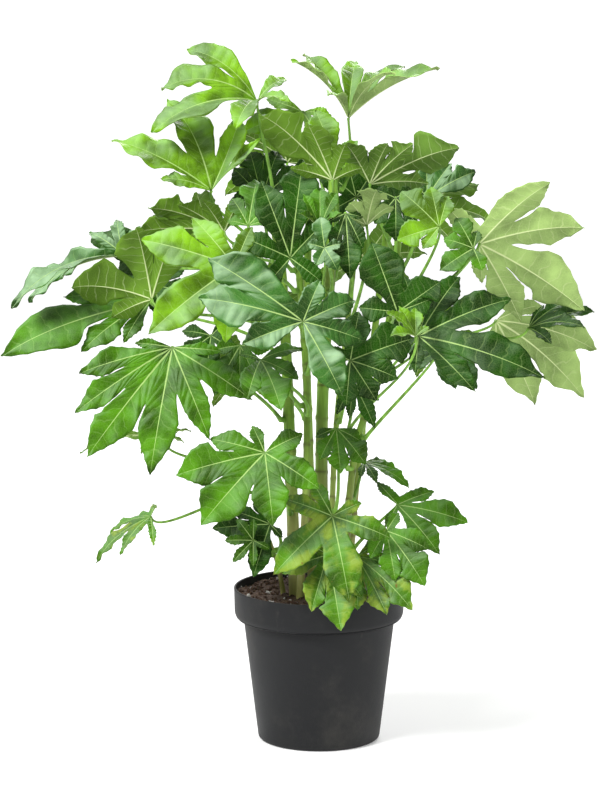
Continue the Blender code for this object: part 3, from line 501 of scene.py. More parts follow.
def as_in_solid(row, blade, cane):
    """Moves the blade to where its solid stands, and gives the stalk's path there.

    The solid's blade was slid along the line of sight, and its stalk raised and swayed, by one
    of a few steps each. The step whose tips, or stalk points, lie nearest the solid's corners
    is the one that was taken.
    """
    corners = node_points(row["node"])
    home = blade.hub.copy()
    lobes = np.arange(len(blade.lengths))
    tips = blade.places(lobes, blade.lengths, 0 * blade.lengths)[0]
    slides = np.array(SLIDES)
    moved = tips[None] + slides[:, None, None] * SIGHT
    best = int(np.argmin(nearest(moved, corners).sum(1)))
    blade.hub = home + slides[best] * SIGHT
    grown = row["node"] == row["cane"]
    ways = [(raised, sway) for raised in RAISES for sway in SWAYS]
    paths = np.array(
        [stalk_path(blade, cane, row["foot"] * MM + raised, sway, grown) for raised, sway in ways]
    )
    raised, sway = ways[int(np.argmin(nearest(paths[:, 1:-1], corners).sum(1)))]
    return row["foot"] * MM + raised, sway, grown


def grid_triangles(index):
    """Two triangles for each cell of a grid of point numbers, without those that have no area.

    The index may be stacked in leading axes. Rows run along and columns across, counter to the
    clock when the surface is seen from outside.
    """
    a, b = index[..., :-1, :-1], index[..., :-1, 1:]
    c, d = index[..., 1:, 1:], index[..., 1:, :-1]
    faces = np.concatenate([np.stack([a, d, c], -1).reshape(-1, 3), np.stack([a, c, b], -1).reshape(-1, 3)])
    repeated = (faces[:, 0] == faces[:, 1]) | (faces[:, 1] == faces[:, 2]) | (faces[:, 2] == faces[:, 0])
    return faces[~repeated]


def tube(path, radii, around):
    """A closed round tube carried along a path.

    Each ring is path + radius * (cos a * side + sin a * up), where side and up are square to
    the path, and each end is closed by a fan.
    """
    heading = unit(np.gradient(path, axis=0))
    reference = np.eye(3)[int(np.argmin(np.abs(path[-1] - path[0])))]
    side = unit(np.cross(heading, reference))
    up = np.cross(heading, side)
    turn = np.linspace(0, 2 * math.pi, around, endpoint=False)
    if radii.ndim == 1:
        radii = np.repeat(radii[:, None], around, 1)
    ring = np.cos(turn)[None, :, None] * side[:, None] + np.sin(turn)[None, :, None] * up[:, None]
    points = path[:, None] + radii[..., None] * ring
    count = len(path)
    index = np.arange(count * around).reshape(count, around)
    index = np.concatenate([index, index[:, :1]], 1)
    faces = grid_triangles(index)[:, ::-1]
    foot, head = count * around, count * around + 1
    low = np.stack([np.full(around, foot), index[0, 1:], index[0, :-1]], -1)
    high = np.stack([np.full(around, head), index[-1, :-1], index[-1, 1:]], -1)
    points = np.concatenate([points.reshape(-1, 3), path[:1], path[-1:]])
    along = np.concatenate([np.repeat(np.linspace(0, 1, count), around), [0, 1]])
    return points, np.concatenate([faces, low, high]), along


class Shape:
    """Points, triangles, the finish of each triangle and a pattern vector for each point."""

    def __init__(self):
        self.points, self.faces, self.finish, self.flat, self.pattern = [], [], [], [], []
        self.count = 0

    def add(self, points, faces, finish, pattern=None, flat=False):
        """Adds a patch. finish is the place of its material in the piece's list."""
        self.points.append(points)
        self.faces.append(faces + self.count)
        self.finish.append(np.full(len(faces), finish))
        self.flat.append(np.full(len(faces), flat))
        self.pattern.append(np.zeros((len(points), 3)) if pattern is None else pattern)
        self.count += len(points)

    def merge(self, other, finish):
        """Takes in another shape, in one finish."""
        for faces, flat in zip(other.faces, other.flat):
            self.faces.append(faces + self.count)
            self.finish.append(np.full(len(faces), finish))
            self.flat.append(flat)
        self.points += other.points
        self.pattern += other.pattern
        self.count += other.count

    def piece(self, name, finishes, slot, *nodes):
        """Makes the object, which rides on the plant's body and stands for its solids."""
        points, faces = np.concatenate(self.points), np.concatenate(self.faces)
        mesh = bpy.data.meshes.new(name)
        mesh.vertices.add(len(points))
        mesh.vertices.foreach_set("co", points.astype(np.float32).ravel())
        mesh.loops.add(faces.size)
        mesh.loops.foreach_set("vertex_index", faces.astype(np.int32).ravel())
        mesh.polygons.add(len(faces))
        mesh.polygons.foreach_set("loop_start", np.arange(0, faces.size, 3, dtype=np.int32))
        mesh.polygons.foreach_set("material_index", np.concatenate(self.finish).astype(np.int32))
        mesh.polygons.foreach_set("use_smooth", ~np.concatenate(self.flat))
        mesh.update(calc_edges=True)
        pattern = mesh.attributes.new("pattern", "FLOAT_VECTOR", "POINT")
        pattern.data.foreach_set("vector", np.concatenate(self.pattern).astype(np.float32).ravel())
        for finish in finishes:
            mesh.materials.append(finish)
        made = bpy.data.objects.new(name, mesh)
        bpy.context.scene.collection.objects.link(made)
        if nodes:
            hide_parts(*nodes)
        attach(made, "root")
        return made


class Value:
    """A number in a material: Python's operators on it add Math nodes."""

    def __init__(self, finish, socket):
        self.finish, self.socket = finish, socket

    def maths(self, operation, *values, clamp=False):
        """The result of a Math node on the given values."""
        sockets = dict(enumerate(values))
        return self.finish.node("ShaderNodeMath", {"operation": operation, "use_clamp": clamp}, sockets)

    def __add__(self, other):
        return self.maths("ADD", self, other)

    __radd__ = __add__

    def __sub__(self, other):
        return self.maths("SUBTRACT", self, other)

    def __rsub__(self, other):
        return self.maths("SUBTRACT", other, self)

    def __mul__(self, other):
        return self.maths("MULTIPLY", self, other)

    __rmul__ = __mul__

    def __truediv__(self, other):
        return self.maths("DIVIDE", self, other)

    def clipped(self):
        """The value held between 0 and 1."""
        return self.maths("ADD", self, 0, clamp=True)

    def step(self, low, high):
        """0 below low and 1 above high, with a soft rise between. The two may stand in either order."""
        settings = {"interpolation_type": "SMOOTHSTEP"}
        if low > high:
            return 1 - self.step(high, low)
        return self.finish.node("ShaderNodeMapRange", settings, {0: self, 1: low, 2: high})

    def part(self):
        """What is left of the value above the whole number below it."""
        return self.maths("FRACT", self)

    def distance(self, other):
        """How far it is from another value."""
        return self.maths("ABSOLUTE", self - other)


class Finish:
    """A material: its nodes are added by one method, and its shader is set at the end."""

    def __init__(self, name):
        self.material = bpy.data.materials.new(name)
        self.material.use_nodes = True
        self.tree = self.material.node_tree
        self.shader = self.tree.nodes["Principled BSDF"]

    def put(self, socket, value):
        """Gives a socket a link, a colour or a number."""
        if isinstance(value, Value):
            self.tree.links.new(value.socket, socket)
        elif hasattr(value, "__len__") and len(value) == 3 and socket.type == "RGBA":
            socket.default_value = (*value, 1)
        else:
            socket.default_value = value

    def node(self, kind, settings, sockets, output=0):
        """One node: its settings first, then the values or links of its sockets."""
        made = self.tree.nodes.new(kind)
        for name, value in settings.items():
            setattr(made, name, value)
        for name, value in sockets.items():
            self.put(made.inputs[name], value)
        return Value(self, made.outputs[output])

    def where(self, scale=(1, 1, 1)):
        """Object coordinates in metres, stretched by the scale."""
        place = self.node("ShaderNodeTexCoord", {}, {}, "Object")
        return self.node("ShaderNodeMapping", {}, {"Vector": place, "Scale": scale})

    def noise(self, scale, detail=3, stretch=(1, 1, 1), roughness=0.5):
        """Soft noise from 0 to 1, with so many waves to a metre."""
        sockets = {"Vector": self.where(stretch), "Scale": scale, "Detail": detail, "Roughness": roughness}
        return self.node("ShaderNodeTexNoise", {}, sockets)

    def cells(self, scale, feature="DISTANCE_TO_EDGE"):
        """Distance to the edge of a cell, or to its middle, with so many cells to a metre."""
        sockets = {"Vector": self.where(), "Scale": scale}
        return self.node("ShaderNodeTexVoronoi", {"feature": feature}, sockets, "Distance")

    def facing(self, way):
        """How squarely the surface faces a way, from -1 to 1."""
        normal = self.node("ShaderNodeNewGeometry", {}, {}, "Normal")
        return self.node("ShaderNodeVectorMath", {"operation": "DOT_PRODUCT"}, {0: normal, 1: way}, "Value")

    def pattern(self):
        """The three parts of the piece's own pattern vector."""
        vector = self.node("ShaderNodeAttribute", {"attribute_name": "pattern"}, {}, "Vector")
        return [self.node("ShaderNodeSeparateXYZ", {}, {0: vector}, part) for part in range(3)]

    def blend(self, factor, first, second):
        """From the first colour to the second by the factor."""
        return self.node("ShaderNodeMix", {"data_type": "RGBA"}, {0: factor, 6: first, 7: second}, 2)

    def bump(self, height, distance, strength=1.0):
        """A surface direction from a height."""
        sockets = {"Strength": strength, "Distance": distance, "Height": height}
        return self.node("ShaderNodeBump", {}, sockets)

    def finished(self, **values):
        """Sets the shader's sockets, which are named with spaces for underscores, and gives the material."""
        for name, value in values.items():
            self.put(self.shader.inputs[name.replace("_", " ")], value)
        return self.material


def shade(colour, factor):
    """A colour made darker or lighter."""
    return tuple(min(1.0, float(part) * factor) for part in colour)


def leaf_finishes(tone, leaves):
    """The upper side and underside of a leaf in one tone, made once.

    The pattern vector holds how far out from the rib a point is, as a share of the lobe's half width, how many side
    veins lie between it and the hub, and its distance from the rib in rib widths. Side veins lie where the second part
    is a whole number. A painted sheen, a painted highlight of the key light, lightens the upper side where the surface
    faces up and to the left, towards that light, broken up by noise.
    """
    sides = [f"leaf_{tone}_{side}" for side in ("upper", "under")]
    if sides[0] in bpy.data.materials:
        return [bpy.data.materials[name] for name in sides]
    colour, painted_sheen_share = getattr(leaves, f"{tone}_colour"), getattr(leaves, f"{tone}_sheen")
    finish = Finish(sides[0])
    share, vein, rib = finish.pattern()
    rib_mask = rib.step(1.1, 0.6)
    wander = finish.noise(55, 2)
    to_vein = ((wander - 0.5) * 1.3 + vein + 0.5).part().distance(0.5)
    vein_mask = to_vein.step(0.07, 0.0) * share.step(1.0, 0.6)
    patches = finish.noise(26, 4)
    net = finish.cells(360).step(0.14, 0.0)
    tint = finish.blend(patches.step(0.34, 0.68), shade(colour, 0.4), shade(colour, 1.45))
    # Painted highlight: where the upper side faces the key light, its colour is blended towards the pale sheen colour,
    # by each tone's painted sheen strength.
    painted_sheen = finish.facing(PAINTED_SHEEN_WAY).step(0.6, 1.0) * (wander.step(0.2, 0.75) * 0.6 + 0.4)
    painted_highlight = [0.25 * part + 0.75 * other for part, other in zip(colour, leaves.painted_sheen_colour)]
    tint = finish.blend(painted_sheen * painted_sheen_share, tint, painted_highlight)
    if tone == "mottled":
        blotch = finish.noise(38, 4, roughness=0.6).step(0.46, 0.62) * share.step(0.05, 0.5)
        tint = finish.blend(blotch * 0.7, tint, leaves.blotch_colour)
        tint = finish.blend(finish.noise(75, 3).step(0.68, 0.74) * 0.7, tint, leaves.spot_colour)
    speckle = finish.noise(260, 2)
    tint = finish.blend(speckle.step(0.56, 0.8) * leaves.mottling, tint, leaves.rib_colour)
    tint = finish.blend((net * 0.06).clipped(), tint, leaves.rib_colour)
    tint = finish.blend(vein_mask * 0.14, tint, leaves.rib_colour)
    tint = finish.blend(rib_mask * 0.75, tint, leaves.rib_colour)
    height = wander * 0.3 + to_vein.step(0.0, 0.3) * 0.5 - net * 0.15 + finish.noise(150, 2) * 0.3
    upper = finish.finished(
        Base_Color=tint,
        Roughness=patches * 0.14 + leaves.gloss,
        Normal=finish.bump(height, 0.0012, 0.6),
        Specular_IOR_Level=0.14,
        Specular_Tint=(0.75, 1.0, 0.6),
    )
    finish = Finish(sides[1])
    share, vein, rib = finish.pattern()
    rib_mask = rib.step(1.3, 0.8)
    wander = finish.noise(50, 2)
    to_vein = ((wander - 0.5) * 1.3 + vein + 0.5).part().distance(0.5)
    vein_mask = to_vein.step(0.08, 0.0) * share.step(1.0, 0.6)
    net = finish.cells(320).step(0.14, 0.0)
    pale = getattr(leaves, f"{tone}_under")
    tint = finish.blend(finish.noise(20, 3).step(0.3, 0.7), shade(pale, 0.65), shade(pale, 1.25))
    tint = finish.blend((net * 0.18).clipped(), tint, shade(pale, 1.5))
    tint = finish.blend(vein_mask * 0.2, tint, leaves.under_rib_colour)
    tint = finish.blend(rib_mask * 0.85, tint, leaves.under_rib_colour)
    height = vein_mask * 0.5 + net * 0.15 + wander * 0.4
    under = finish.finished(
        Base_Color=tint, Roughness=0.6, Normal=finish.bump(height, 0.001, 0.5), Specular_IOR_Level=0.12
    )
    return [upper, under]


def stem_finish(name, colour, old_colour, height=None):
    """Green stem, streaked along its length. Below the height it turns to the old colour."""
    finish = Finish(name)
    streaks = finish.noise(160, 3, (1, 1, 0.08))
    tint = finish.blend(streaks.step(0.3, 0.7), shade(colour, 0.62), shade(colour, 1.25))
    scar = finish.pattern()[2]
    tint = finish.blend(finish.noise(35, 3).step(0.5, 0.75) * 0.35, tint, old_colour)
    if height:
        place = finish.node("ShaderNodeTexCoord", {}, {}, "Object")
        up = finish.node("ShaderNodeSeparateXYZ", {}, {0: place}, 2)
        low = (up + finish.noise(20, 2) * 0.12 - 0.06).step(height + 0.16, height - 0.04)
        tint = finish.blend(low * 0.8, tint, old_colour)
        tint = finish.blend(scar * 0.8, tint, shade(old_colour, 0.35))
    bump = finish.bump(streaks, 0.0006, 0.7)
    return finish.finished(Base_Color=tint, Roughness=0.5, Normal=bump, Specular_IOR_Level=0.3)


def vein_counts(longest):
    """Rows from the hub to the cut, rows beyond it, and rows to a side vein, for a leaf of that size."""
    if longest > 85 * MM:
        return 8, 28, 4
    return (6, 21, 3) if longest > 50 * MM else (4, 15, 3)


def blade_grid(blade, leaves, rng):
    """The upper side of a blade, as a grid of rows along and columns across for each lobe.

    From the hub to the cut beside it a row runs from a point on the rib, forwards and out, to
    the line that ends in the cut. Beyond the cut the half width grows to the lobe's own width
    at 0.6 of its length and falls to 0 at the tip as 1 - x^1.6, drawn in before the tip, and
    the margin has small forward teeth. Quilting between the side veins and a wave that grows
    with the square of the distance from the rib are added along the surface's own direction.
    """
    lobes = len(blade.lengths)
    palm, free, spacing = vein_counts(blade.lengths.max())
    length, width = blade.lengths[:, None], blade.widths[:, None]
    half = np.diff(blade.angles) / 2
    cut_along = blade.sinuses * np.cos(half)
    cut_across = blade.sinuses * np.sin(half)
    sides = []
    for turn in (-1, 1):
        edge = [(OUTER_ROOT[0] * blade.lengths[0], OUTER_ROOT[1] * blade.widths[0])]
        if turn > 0:
            edge = [(OUTER_ROOT[0] * blade.lengths[-1], OUTER_ROOT[1] * blade.widths[-1])]
        cuts = list(zip(cut_along, cut_across))
        sides.append(np.array(edge + cuts if turn < 0 else cuts + edge))
    rows = np.arange(palm + free + 1)
    inner = np.clip(rows / palm, 0, 1)
    t = np.clip((rows - palm) / free, 0, 1)
    start = 0.24
    rib_along = (start * inner + (1 - start) * t) * length
    tooth = np.array([0.0, 0.45, 1.0, 0.2] if spacing == 4 else [0.0, 0.5, 1.0])[rows % spacing]
    shares = np.array([0, 0.28, 0.58, 0.84, 1.0])
    rib_width = leaves.rib_width * (0.5 + length / (200 * MM)) * (1.05 - rib_along / length)
    columns = []
    for turn, edge in zip((-1, 1), sides):
        first_along, first_across = edge[:, :1], edge[:, 1:]
        edge_along = first_along * inner + (length - first_along) * t
        x = edge_along / length
        begin = first_along / length
        widest = np.maximum(0.6, begin + 0.08)
        grown = first_across + (width - first_across) * smooth((x - begin) / (widest - begin))
        y = np.clip((x - widest) / (1 - widest), 0, 1)
        narrowing = width * (1 - y**1.6) * (1 - 0.28 * smooth((y - 0.45) / 0.55))
        edge_across = np.where(x < widest, grown, narrowing)
        edge_across = np.where(rows <= palm, first_across * inner, edge_across)
        room = blade.room(np.arange(lobes)[:, None], edge_along, turn)
        edge_across = np.where(rows > palm, np.minimum(edge_across, room), edge_across)
        serrated = smooth((x - begin - 0.12) / 0.1) * smooth((1 - x) / 0.06) * (rows > palm)
        edge_across = edge_across + leaves.tooth * serrated * tooth
        near = np.minimum(rib_width, 0.35 * edge_across)
        across = near[..., None] + (edge_across - near)[..., None] * shares
        mix = across / np.maximum(edge_across, 1e-9)[..., None]
        along = rib_along[..., None] * (1 - mix) + edge_along[..., None] * mix
        order = slice(None, None, turn)
        columns.append((along[..., order], turn * across[..., order], np.broadcast_to(shares, across.shape)[..., order]))
    middle = (rib_along[..., None], 0 * rib_along[..., None], 0 * rib_along[..., None])
    along, across, share = [
        np.concatenate([columns[0][part], middle[part], columns[1][part]], -1) for part in range(3)
    ]
    lobe = np.broadcast_to(np.arange(lobes)[:, None, None], along.shape)
    points, above = blade.places(lobe, along, across)
    for values in (points, above):
        seam = (values[:-1, : palm + 1, -1] + values[1:, : palm + 1, 0]) / 2
        right, left = seam - values[:-1, : palm + 1, -1], seam - values[1:, : palm + 1, 0]
        fade = share[:-1, : palm + 1, :, None] ** 2
        values[:-1, : palm + 1, 6:] += (fade * right[:, :, None])[:, :, 6:]
        values[1:, : palm + 1, :5] += (share[1:, : palm + 1, :, None] ** 2 * left[:, :, None])[:, :, :5]
    vein = rows / spacing
    quilt = np.sin(math.pi * vein)[:, None] ** 2 * share * (1 - share) * 4
    out = np.sign(across)
    cycles = rng.uniform(1.6, 2.8, (lobes, 1, 1)) + 0.35 * out
    phase = rng.uniform(0, 1, (lobes, 1, 1)) + 0.4 * out
    own = smooth((rows - palm) / (0.35 * free))[:, None]
    wave = np.sin(2 * math.pi * (cycles * t[:, None] + phase)) * share**2 * own
    size = np.clip(blade.lengths / (110 * MM), 0.25, 1.3)[:, None, None]
    rise = leaves.quilting * quilt * size + leaves.wave * wave * size
    points = points + rise[..., None] * above
    pattern = np.stack([share, np.broadcast_to(vein[:, None], share.shape), np.abs(across) / rib_width[..., None]], -1)
    pattern[:, 0, :, 2] = 1
    pattern[..., 2] = np.where(share == 0, np.where(across == 0, 0, 1), np.maximum(pattern[..., 2], 1))
    ridge = np.where(across == 0, 1.0, 0.0) * rib_width[..., None]
    return points, unit(above), pattern, ridge, palm


def add_blade(shape, blade, leaves, rng, finish):
    """Adds a blade's two sides and the wall round its edge, with the lobes joined up to the cuts.

    finish is the place of the upper side's material, which the underside's follows.
    """
    points, above, pattern, ridge, palm = blade_grid(blade, leaves, rng)
    index = np.arange(points[..., 0].size).reshape(points.shape[:3])
    index[1:, : palm + 1, 0] = index[:-1, : palm + 1, -1]
    index[:, 0, :] = index[0, 0, 0]
    used, index = np.unique(index, return_inverse=True)
    faces = grid_triangles(index.reshape(points.shape[:3]))
    points, above, pattern, ridge = [
        values.reshape(-1, *values.shape[3:])[used] for values in (points, above, pattern, ridge)
    ]
    count = len(points)
    half = leaves.thickness / 2
    top = points + above * (half + 0.25 * ridge)[:, None]
    bottom = points - above * (half + 0.7 * ridge)[:, None]
    ends = np.concatenate([faces[:, [0, 1]], faces[:, [1, 2]], faces[:, [2, 0]]])
    keys = ends[:, 0] * count + ends[:, 1]
    free = ~np.isin(keys, ends[:, 1] * count + ends[:, 0])
    start, end = ends[free].T
    wall = np.concatenate([np.stack([end, start, start + count], -1), np.stack([end, start + count, end + count], -1)])
    first = shape.count
    shape.add(np.concatenate([top, bottom]), faces, finish, np.concatenate([pattern, pattern]))
    for extra, flat in ((faces[:, ::-1] + count, False), (wall, True)):
        shape.faces.append(extra + first)
        shape.finish.append(np.full(len(extra), finish + 1))
        shape.flat.append(np.full(len(extra), flat))


def add_stalk(shape, path, leaves, finish):
    """Adds a stalk: a tube that clasps the cane at its foot and swells again under the hub."""
    t = np.linspace(0, 1, len(path))
    radii = PETIOLE_FOOT_RADIUS + (PETIOLE_TIP_RADIUS - PETIOLE_FOOT_RADIUS) * np.minimum(1, t * 1.15)
    radii = radii * (0.82 + 0.55 * smooth(1 - t / 0.1) + 0.3 * smooth((t - 0.95) / 0.05))
    points, faces, along = tube(path, radii * leaves.stalk_size, 10)
    pattern = np.stack([along, along, 0 * along], -1)
    shape.add(points, faces, finish, pattern)


def cane_paths():
    """The axis and radii of each cane and short stem, by its name."""
    return {name: cane_path(entry) for name, entry in {**CANES, **SHOOTS}.items()}


def layout_by_node():
    """The rows of each node, with each row's place in the list, which seeds its draws."""
    found = {}
    for seed, row in enumerate(LEAVES):
        found.setdefault(row["node"], []).append((seed, row))
    return found


def add_leaves(shape, rows, canes, leaves):
    """Adds leaves with their stalks, where their solid stands, and gives the finishes they need."""
    tones = sorted({row["tone"] for _, row in rows})
    for seed, row in rows:
        blade = Blade(row, seed)
        cane = canes[row["cane"]]
        foot, sway, grown = as_in_solid(row, blade, cane)
        add_blade(shape, blade, leaves, np.random.default_rng(1000 + seed), 2 * tones.index(row["tone"]))
        path = stalk_path(blade, cane, foot, sway, grown, 26)
        add_stalk(shape, path, leaves, 2 * len(tones))
    finishes = [finish for tone in tones for finish in leaf_finishes(tone, leaves)]
    return finishes + [bpy.data.materials["leaf_stalk"]]


def add_cane(shape, entry, stems, seed):
    """Adds a cane: a tube with a swollen ring and a leaf scar at each node, and a pointed bud.

    The radius grows by a narrow bell at each ring. The pattern vector holds how far along the
    cane a point is, a spare 0, and how dark the scar is there.
    """
    rng = np.random.default_rng(seed)
    length = (entry[2][-1][2] - entry[2][0][2]) * MM
    count = max(24, int(length / (2.2 * MM)))
    path, radii = cane_path(entry, count)
    path, radii = path.copy(), radii.copy()
    up = np.concatenate([[0], np.cumsum(np.linalg.norm(np.diff(path, axis=0), axis=1))])
    around = 18
    turn = np.linspace(0, 2 * math.pi, around, endpoint=False)
    swell = np.zeros((len(path), around))
    dark = np.zeros((len(path), around))
    rings = np.cumsum(rng.uniform(0.6, 1.35, 60)) * stems.ring_spacing + CANE_DEPTH
    rings = rings[rings < up[-1] - 8 * MM]
    for number, ring in enumerate(rings):
        side = 2.4 * number + rng.uniform(-0.3, 0.3)
        tilt = 1.6 * MM * np.cos(turn - side)
        away = (up[:, None] - ring - tilt) / (1.7 * MM)
        bell = np.exp(-away * away)
        facing = smooth((np.cos(turn - side) + 0.3) / 1.2)
        swell += 0.09 * bell + 0.14 * facing * np.exp(-(((up[:, None] - ring + 2 * MM) / (2.6 * MM)) ** 2))
        dark += bell * (0.35 + 0.65 * facing)
    radii = radii[:, None] * (1 + swell)
    points, faces, along = tube(path, radii, around)
    scar = np.concatenate([np.clip(dark, 0, 1).ravel(), [0, 0]])
    shape.add(points, faces, 0, np.stack([along, 0 * along, scar], -1))
    heading = unit(path[-1] - path[-3])
    top = path[-1]
    across = unit(np.cross(heading, (0, 1, 0)))
    for number in range(4):
        angle = 1.7 * number + rng.uniform(0, 1)
        away = math.cos(angle) * across + math.sin(angle) * np.cross(heading, across)
        t = np.linspace(0, 1, 10)[:, None]
        spine = top + heading * (-4 * MM + t * stems.bud_height * (1 - 0.13 * number))
        spine = spine + away * (radii[-1].mean() * (0.4 + 0.5 * np.sin(2.4 * t)))
        swollen = radii[-1].mean() * 0.62 * np.sin(math.pi * np.clip(t[:, 0] * 0.86 + 0.14, 0, 1)) ** 0.8
        points, faces, along = tube(spine, np.maximum(swollen, 0.15 * MM), 8)
        shape.add(points, faces, 0, np.stack([along, 0 * along, 0 * along], -1))


def turned(profile, around):
    """A profile of radius and height turned round the upright axis, as a closed ring of points."""
    turn = np.linspace(0, 2 * math.pi, around, endpoint=False)
    radius, height = np.array(profile).T
    points = np.stack(
        [radius[:, None] * np.cos(turn), radius[:, None] * np.sin(turn), np.repeat(height[:, None], around, 1)], -1
    )
    index = np.arange(len(profile) * around).reshape(len(profile), around)
    for end in (0, -1):
        if radius[end] == 0:
            index[end] = index[end, 0]
    index = np.concatenate([index, index[:, :1]], 1)
    used, index = np.unique(index, return_inverse=True)
    return points.reshape(-1, 3)[used], grid_triangles(index.reshape(len(profile), around + 1))


def rounded(corners, radii, steps=6):
    """A line through the corners, with each inner one rounded as a quadratic curve of that reach."""
    corners = [np.array(corner, float) for corner in corners]
    line = [corners[0]]
    for before, corner, after, radius in zip(corners, corners[1:], corners[2:], radii):
        start = corner + unit(before - corner) * radius
        end = corner + unit(after - corner) * radius
        t = np.linspace(0, 1, steps)[:, None]
        line += list((1 - t) ** 2 * start + 2 * t * (1 - t) * corner + t * t * end)
    return np.array(line + [corners[-1]])


def soil_height(x, y):
    """The soil's heaped top: two long waves and finer ones."""
    wave = np.sin(61 * x + 1.3) * np.cos(53 * y) + 0.6 * np.sin(97 * y + 71 * x)
    fine = np.sin(310 * x + 190 * y) * np.cos(270 * y - 120 * x)
    finer = np.sin(1130 * x + 3 * np.sin(570 * y)) * np.cos(1270 * y + 2 * np.sin(490 * x))
    return SOIL_LEVEL + SOIL_BUMPS * wave + 0.8 * MM * fine + 0.5 * MM * finer


def crumb_shape(rng):
    """A small lump: a ball of 5 by 7 points whose radius is uneven."""
    high, round_ = np.meshgrid(np.linspace(0, math.pi, 5), np.linspace(0, 2 * math.pi, 7)[:-1], indexing="ij")
    uneven = rng.uniform(0.65, 1.2, high.shape)
    uneven[0], uneven[-1] = 0.8, 0.8
    points = uneven[..., None] * np.stack(
        [np.sin(high) * np.cos(round_), np.sin(high) * np.sin(round_), np.cos(high)], -1
    )
    index = np.arange(30).reshape(5, 6)
    index[0], index[-1] = index[0, 0], index[-1, 0]
    index = np.concatenate([index, index[:, :1]], 1)
    used, index = np.unique(index, return_inverse=True)
    return points.reshape(-1, 3)[used], grid_triangles(index.reshape(5, 7))


class FatsiaLeaves(bpy.types.PropertyGroup):
    """Sizes and colours of the leaves"""

    thickness: bpy.props.FloatProperty(
        name="Thickness", description="How thick a blade is", default=0.0006, unit="LENGTH"
    )
    rib_width: bpy.props.FloatProperty(
        name="Rib width", description="Half the width of a rib at the hub", default=0.001, unit="LENGTH"
    )
    tooth: bpy.props.FloatProperty(
        name="Teeth", description="How far the margin's teeth stand out", default=0.0012, unit="LENGTH"
    )
    quilting: bpy.props.FloatProperty(
        name="Quilting", description="How far the blade swells between side veins", default=0.0008, unit="LENGTH"
    )
    wave: bpy.props.FloatProperty(
        name="Wave", description="How far the margin waves up and down", default=0.0028, unit="LENGTH"
    )
    stalk_size: bpy.props.FloatProperty(
        name="Stalk size", description="Thickness of the stalks against the solids", default=1.0
    )
    gloss: bpy.props.FloatProperty(
        name="Roughness", description="Lowest roughness of the upper side", default=0.32
    )
    mottling: bpy.props.FloatProperty(
        name="Flecks", description="How strong the pale flecks are", default=0.04
    )
    for tone, (upper, under, painted_sheen) in TONES.items():
        __annotations__[f"{tone}_colour"] = bpy.props.FloatVectorProperty(
            name=f"{tone.title()} leaf", description="Upper side", default=upper, subtype="COLOR"
        )
        __annotations__[f"{tone}_under"] = bpy.props.FloatVectorProperty(
            name=f"{tone.title()} underside", description="Underside", default=under, subtype="COLOR"
        )
        # Strength of the painted sheen: a painted highlight where the upper side faces the key light.
        __annotations__[f"{tone}_sheen"] = bpy.props.FloatProperty(
            name=f"{tone.title()} sheen", description="How strong the waxy sheen is", default=painted_sheen
        )
    # Colour of the painted highlight put where the upper side faces the key light.
    painted_sheen_colour: bpy.props.FloatVectorProperty(
        name="Sheen", description="Colour of the waxy sheen", default=(0.37, 0.55, 0.33), subtype="COLOR"
    )
    rib_colour: bpy.props.FloatVectorProperty(
        name="Rib", description="Ribs on the upper side", default=(0.42, 0.6, 0.2), subtype="COLOR"
    )
    under_rib_colour: bpy.props.FloatVectorProperty(
        name="Underside rib", description="Ribs on the underside", default=(0.66, 0.76, 0.38), subtype="COLOR"
    )
    blotch_colour: bpy.props.FloatVectorProperty(
        name="Blotch", description="Faded blotches on low leaves", default=(0.25, 0.34, 0.04), subtype="COLOR"
    )
    spot_colour: bpy.props.FloatVectorProperty(
        name="Spot", description="Brown spots on low leaves", default=(0.16, 0.07, 0.02), subtype="COLOR"
    )


class FatsiaStems(bpy.types.PropertyGroup):
    """Sizes and colours of the canes and stalks"""

    ring_spacing: bpy.props.FloatProperty(
        name="Ring spacing", description="Usual distance between rings", default=0.034, unit="LENGTH"
    )
    bud_height: bpy.props.FloatProperty(
        name="Bud height", description="Height of the growing tip", default=0.022, unit="LENGTH"
    )
    old_height: bpy.props.FloatProperty(
        name="Old height", description="Below here the canes turn woody", default=0.26, unit="LENGTH"
    )
    cane_colour: bpy.props.FloatVectorProperty(
        name="Cane", description="Green canes", default=(0.21, 0.38, 0.045), subtype="COLOR"
    )
    old_colour: bpy.props.FloatVectorProperty(
        name="Old cane", description="Woody foot of the canes", default=(0.30, 0.27, 0.10), subtype="COLOR"
    )
    stalk_colour: bpy.props.FloatVectorProperty(
        name="Stalk", description="Leaf stalks", default=(0.20, 0.40, 0.055), subtype="COLOR"
    )


class FatsiaPot(bpy.types.PropertyGroup):
    """Colours of the pot and the soil"""

    plastic_colour: bpy.props.FloatVectorProperty(
        name="Plastic", description="Dark grey plastic", default=(0.012, 0.0125, 0.0135), subtype="COLOR"
    )
    dust_colour: bpy.props.FloatVectorProperty(
        name="Dust", description="Dust and scuffs on the plastic", default=(0.075, 0.07, 0.06), subtype="COLOR"
    )
    soil_colour: bpy.props.FloatVectorProperty(
        name="Peat", description="Brown peat", default=(0.075, 0.038, 0.022), subtype="COLOR"
    )
    fleck_colour: bpy.props.FloatVectorProperty(
        name="Pale crumbs", description="Pale crumbs in the peat", default=(0.42, 0.40, 0.38), subtype="COLOR"
    )
    crumbs: bpy.props.IntProperty(name="Crumbs", description="Crumbs on top of the peat", default=900)


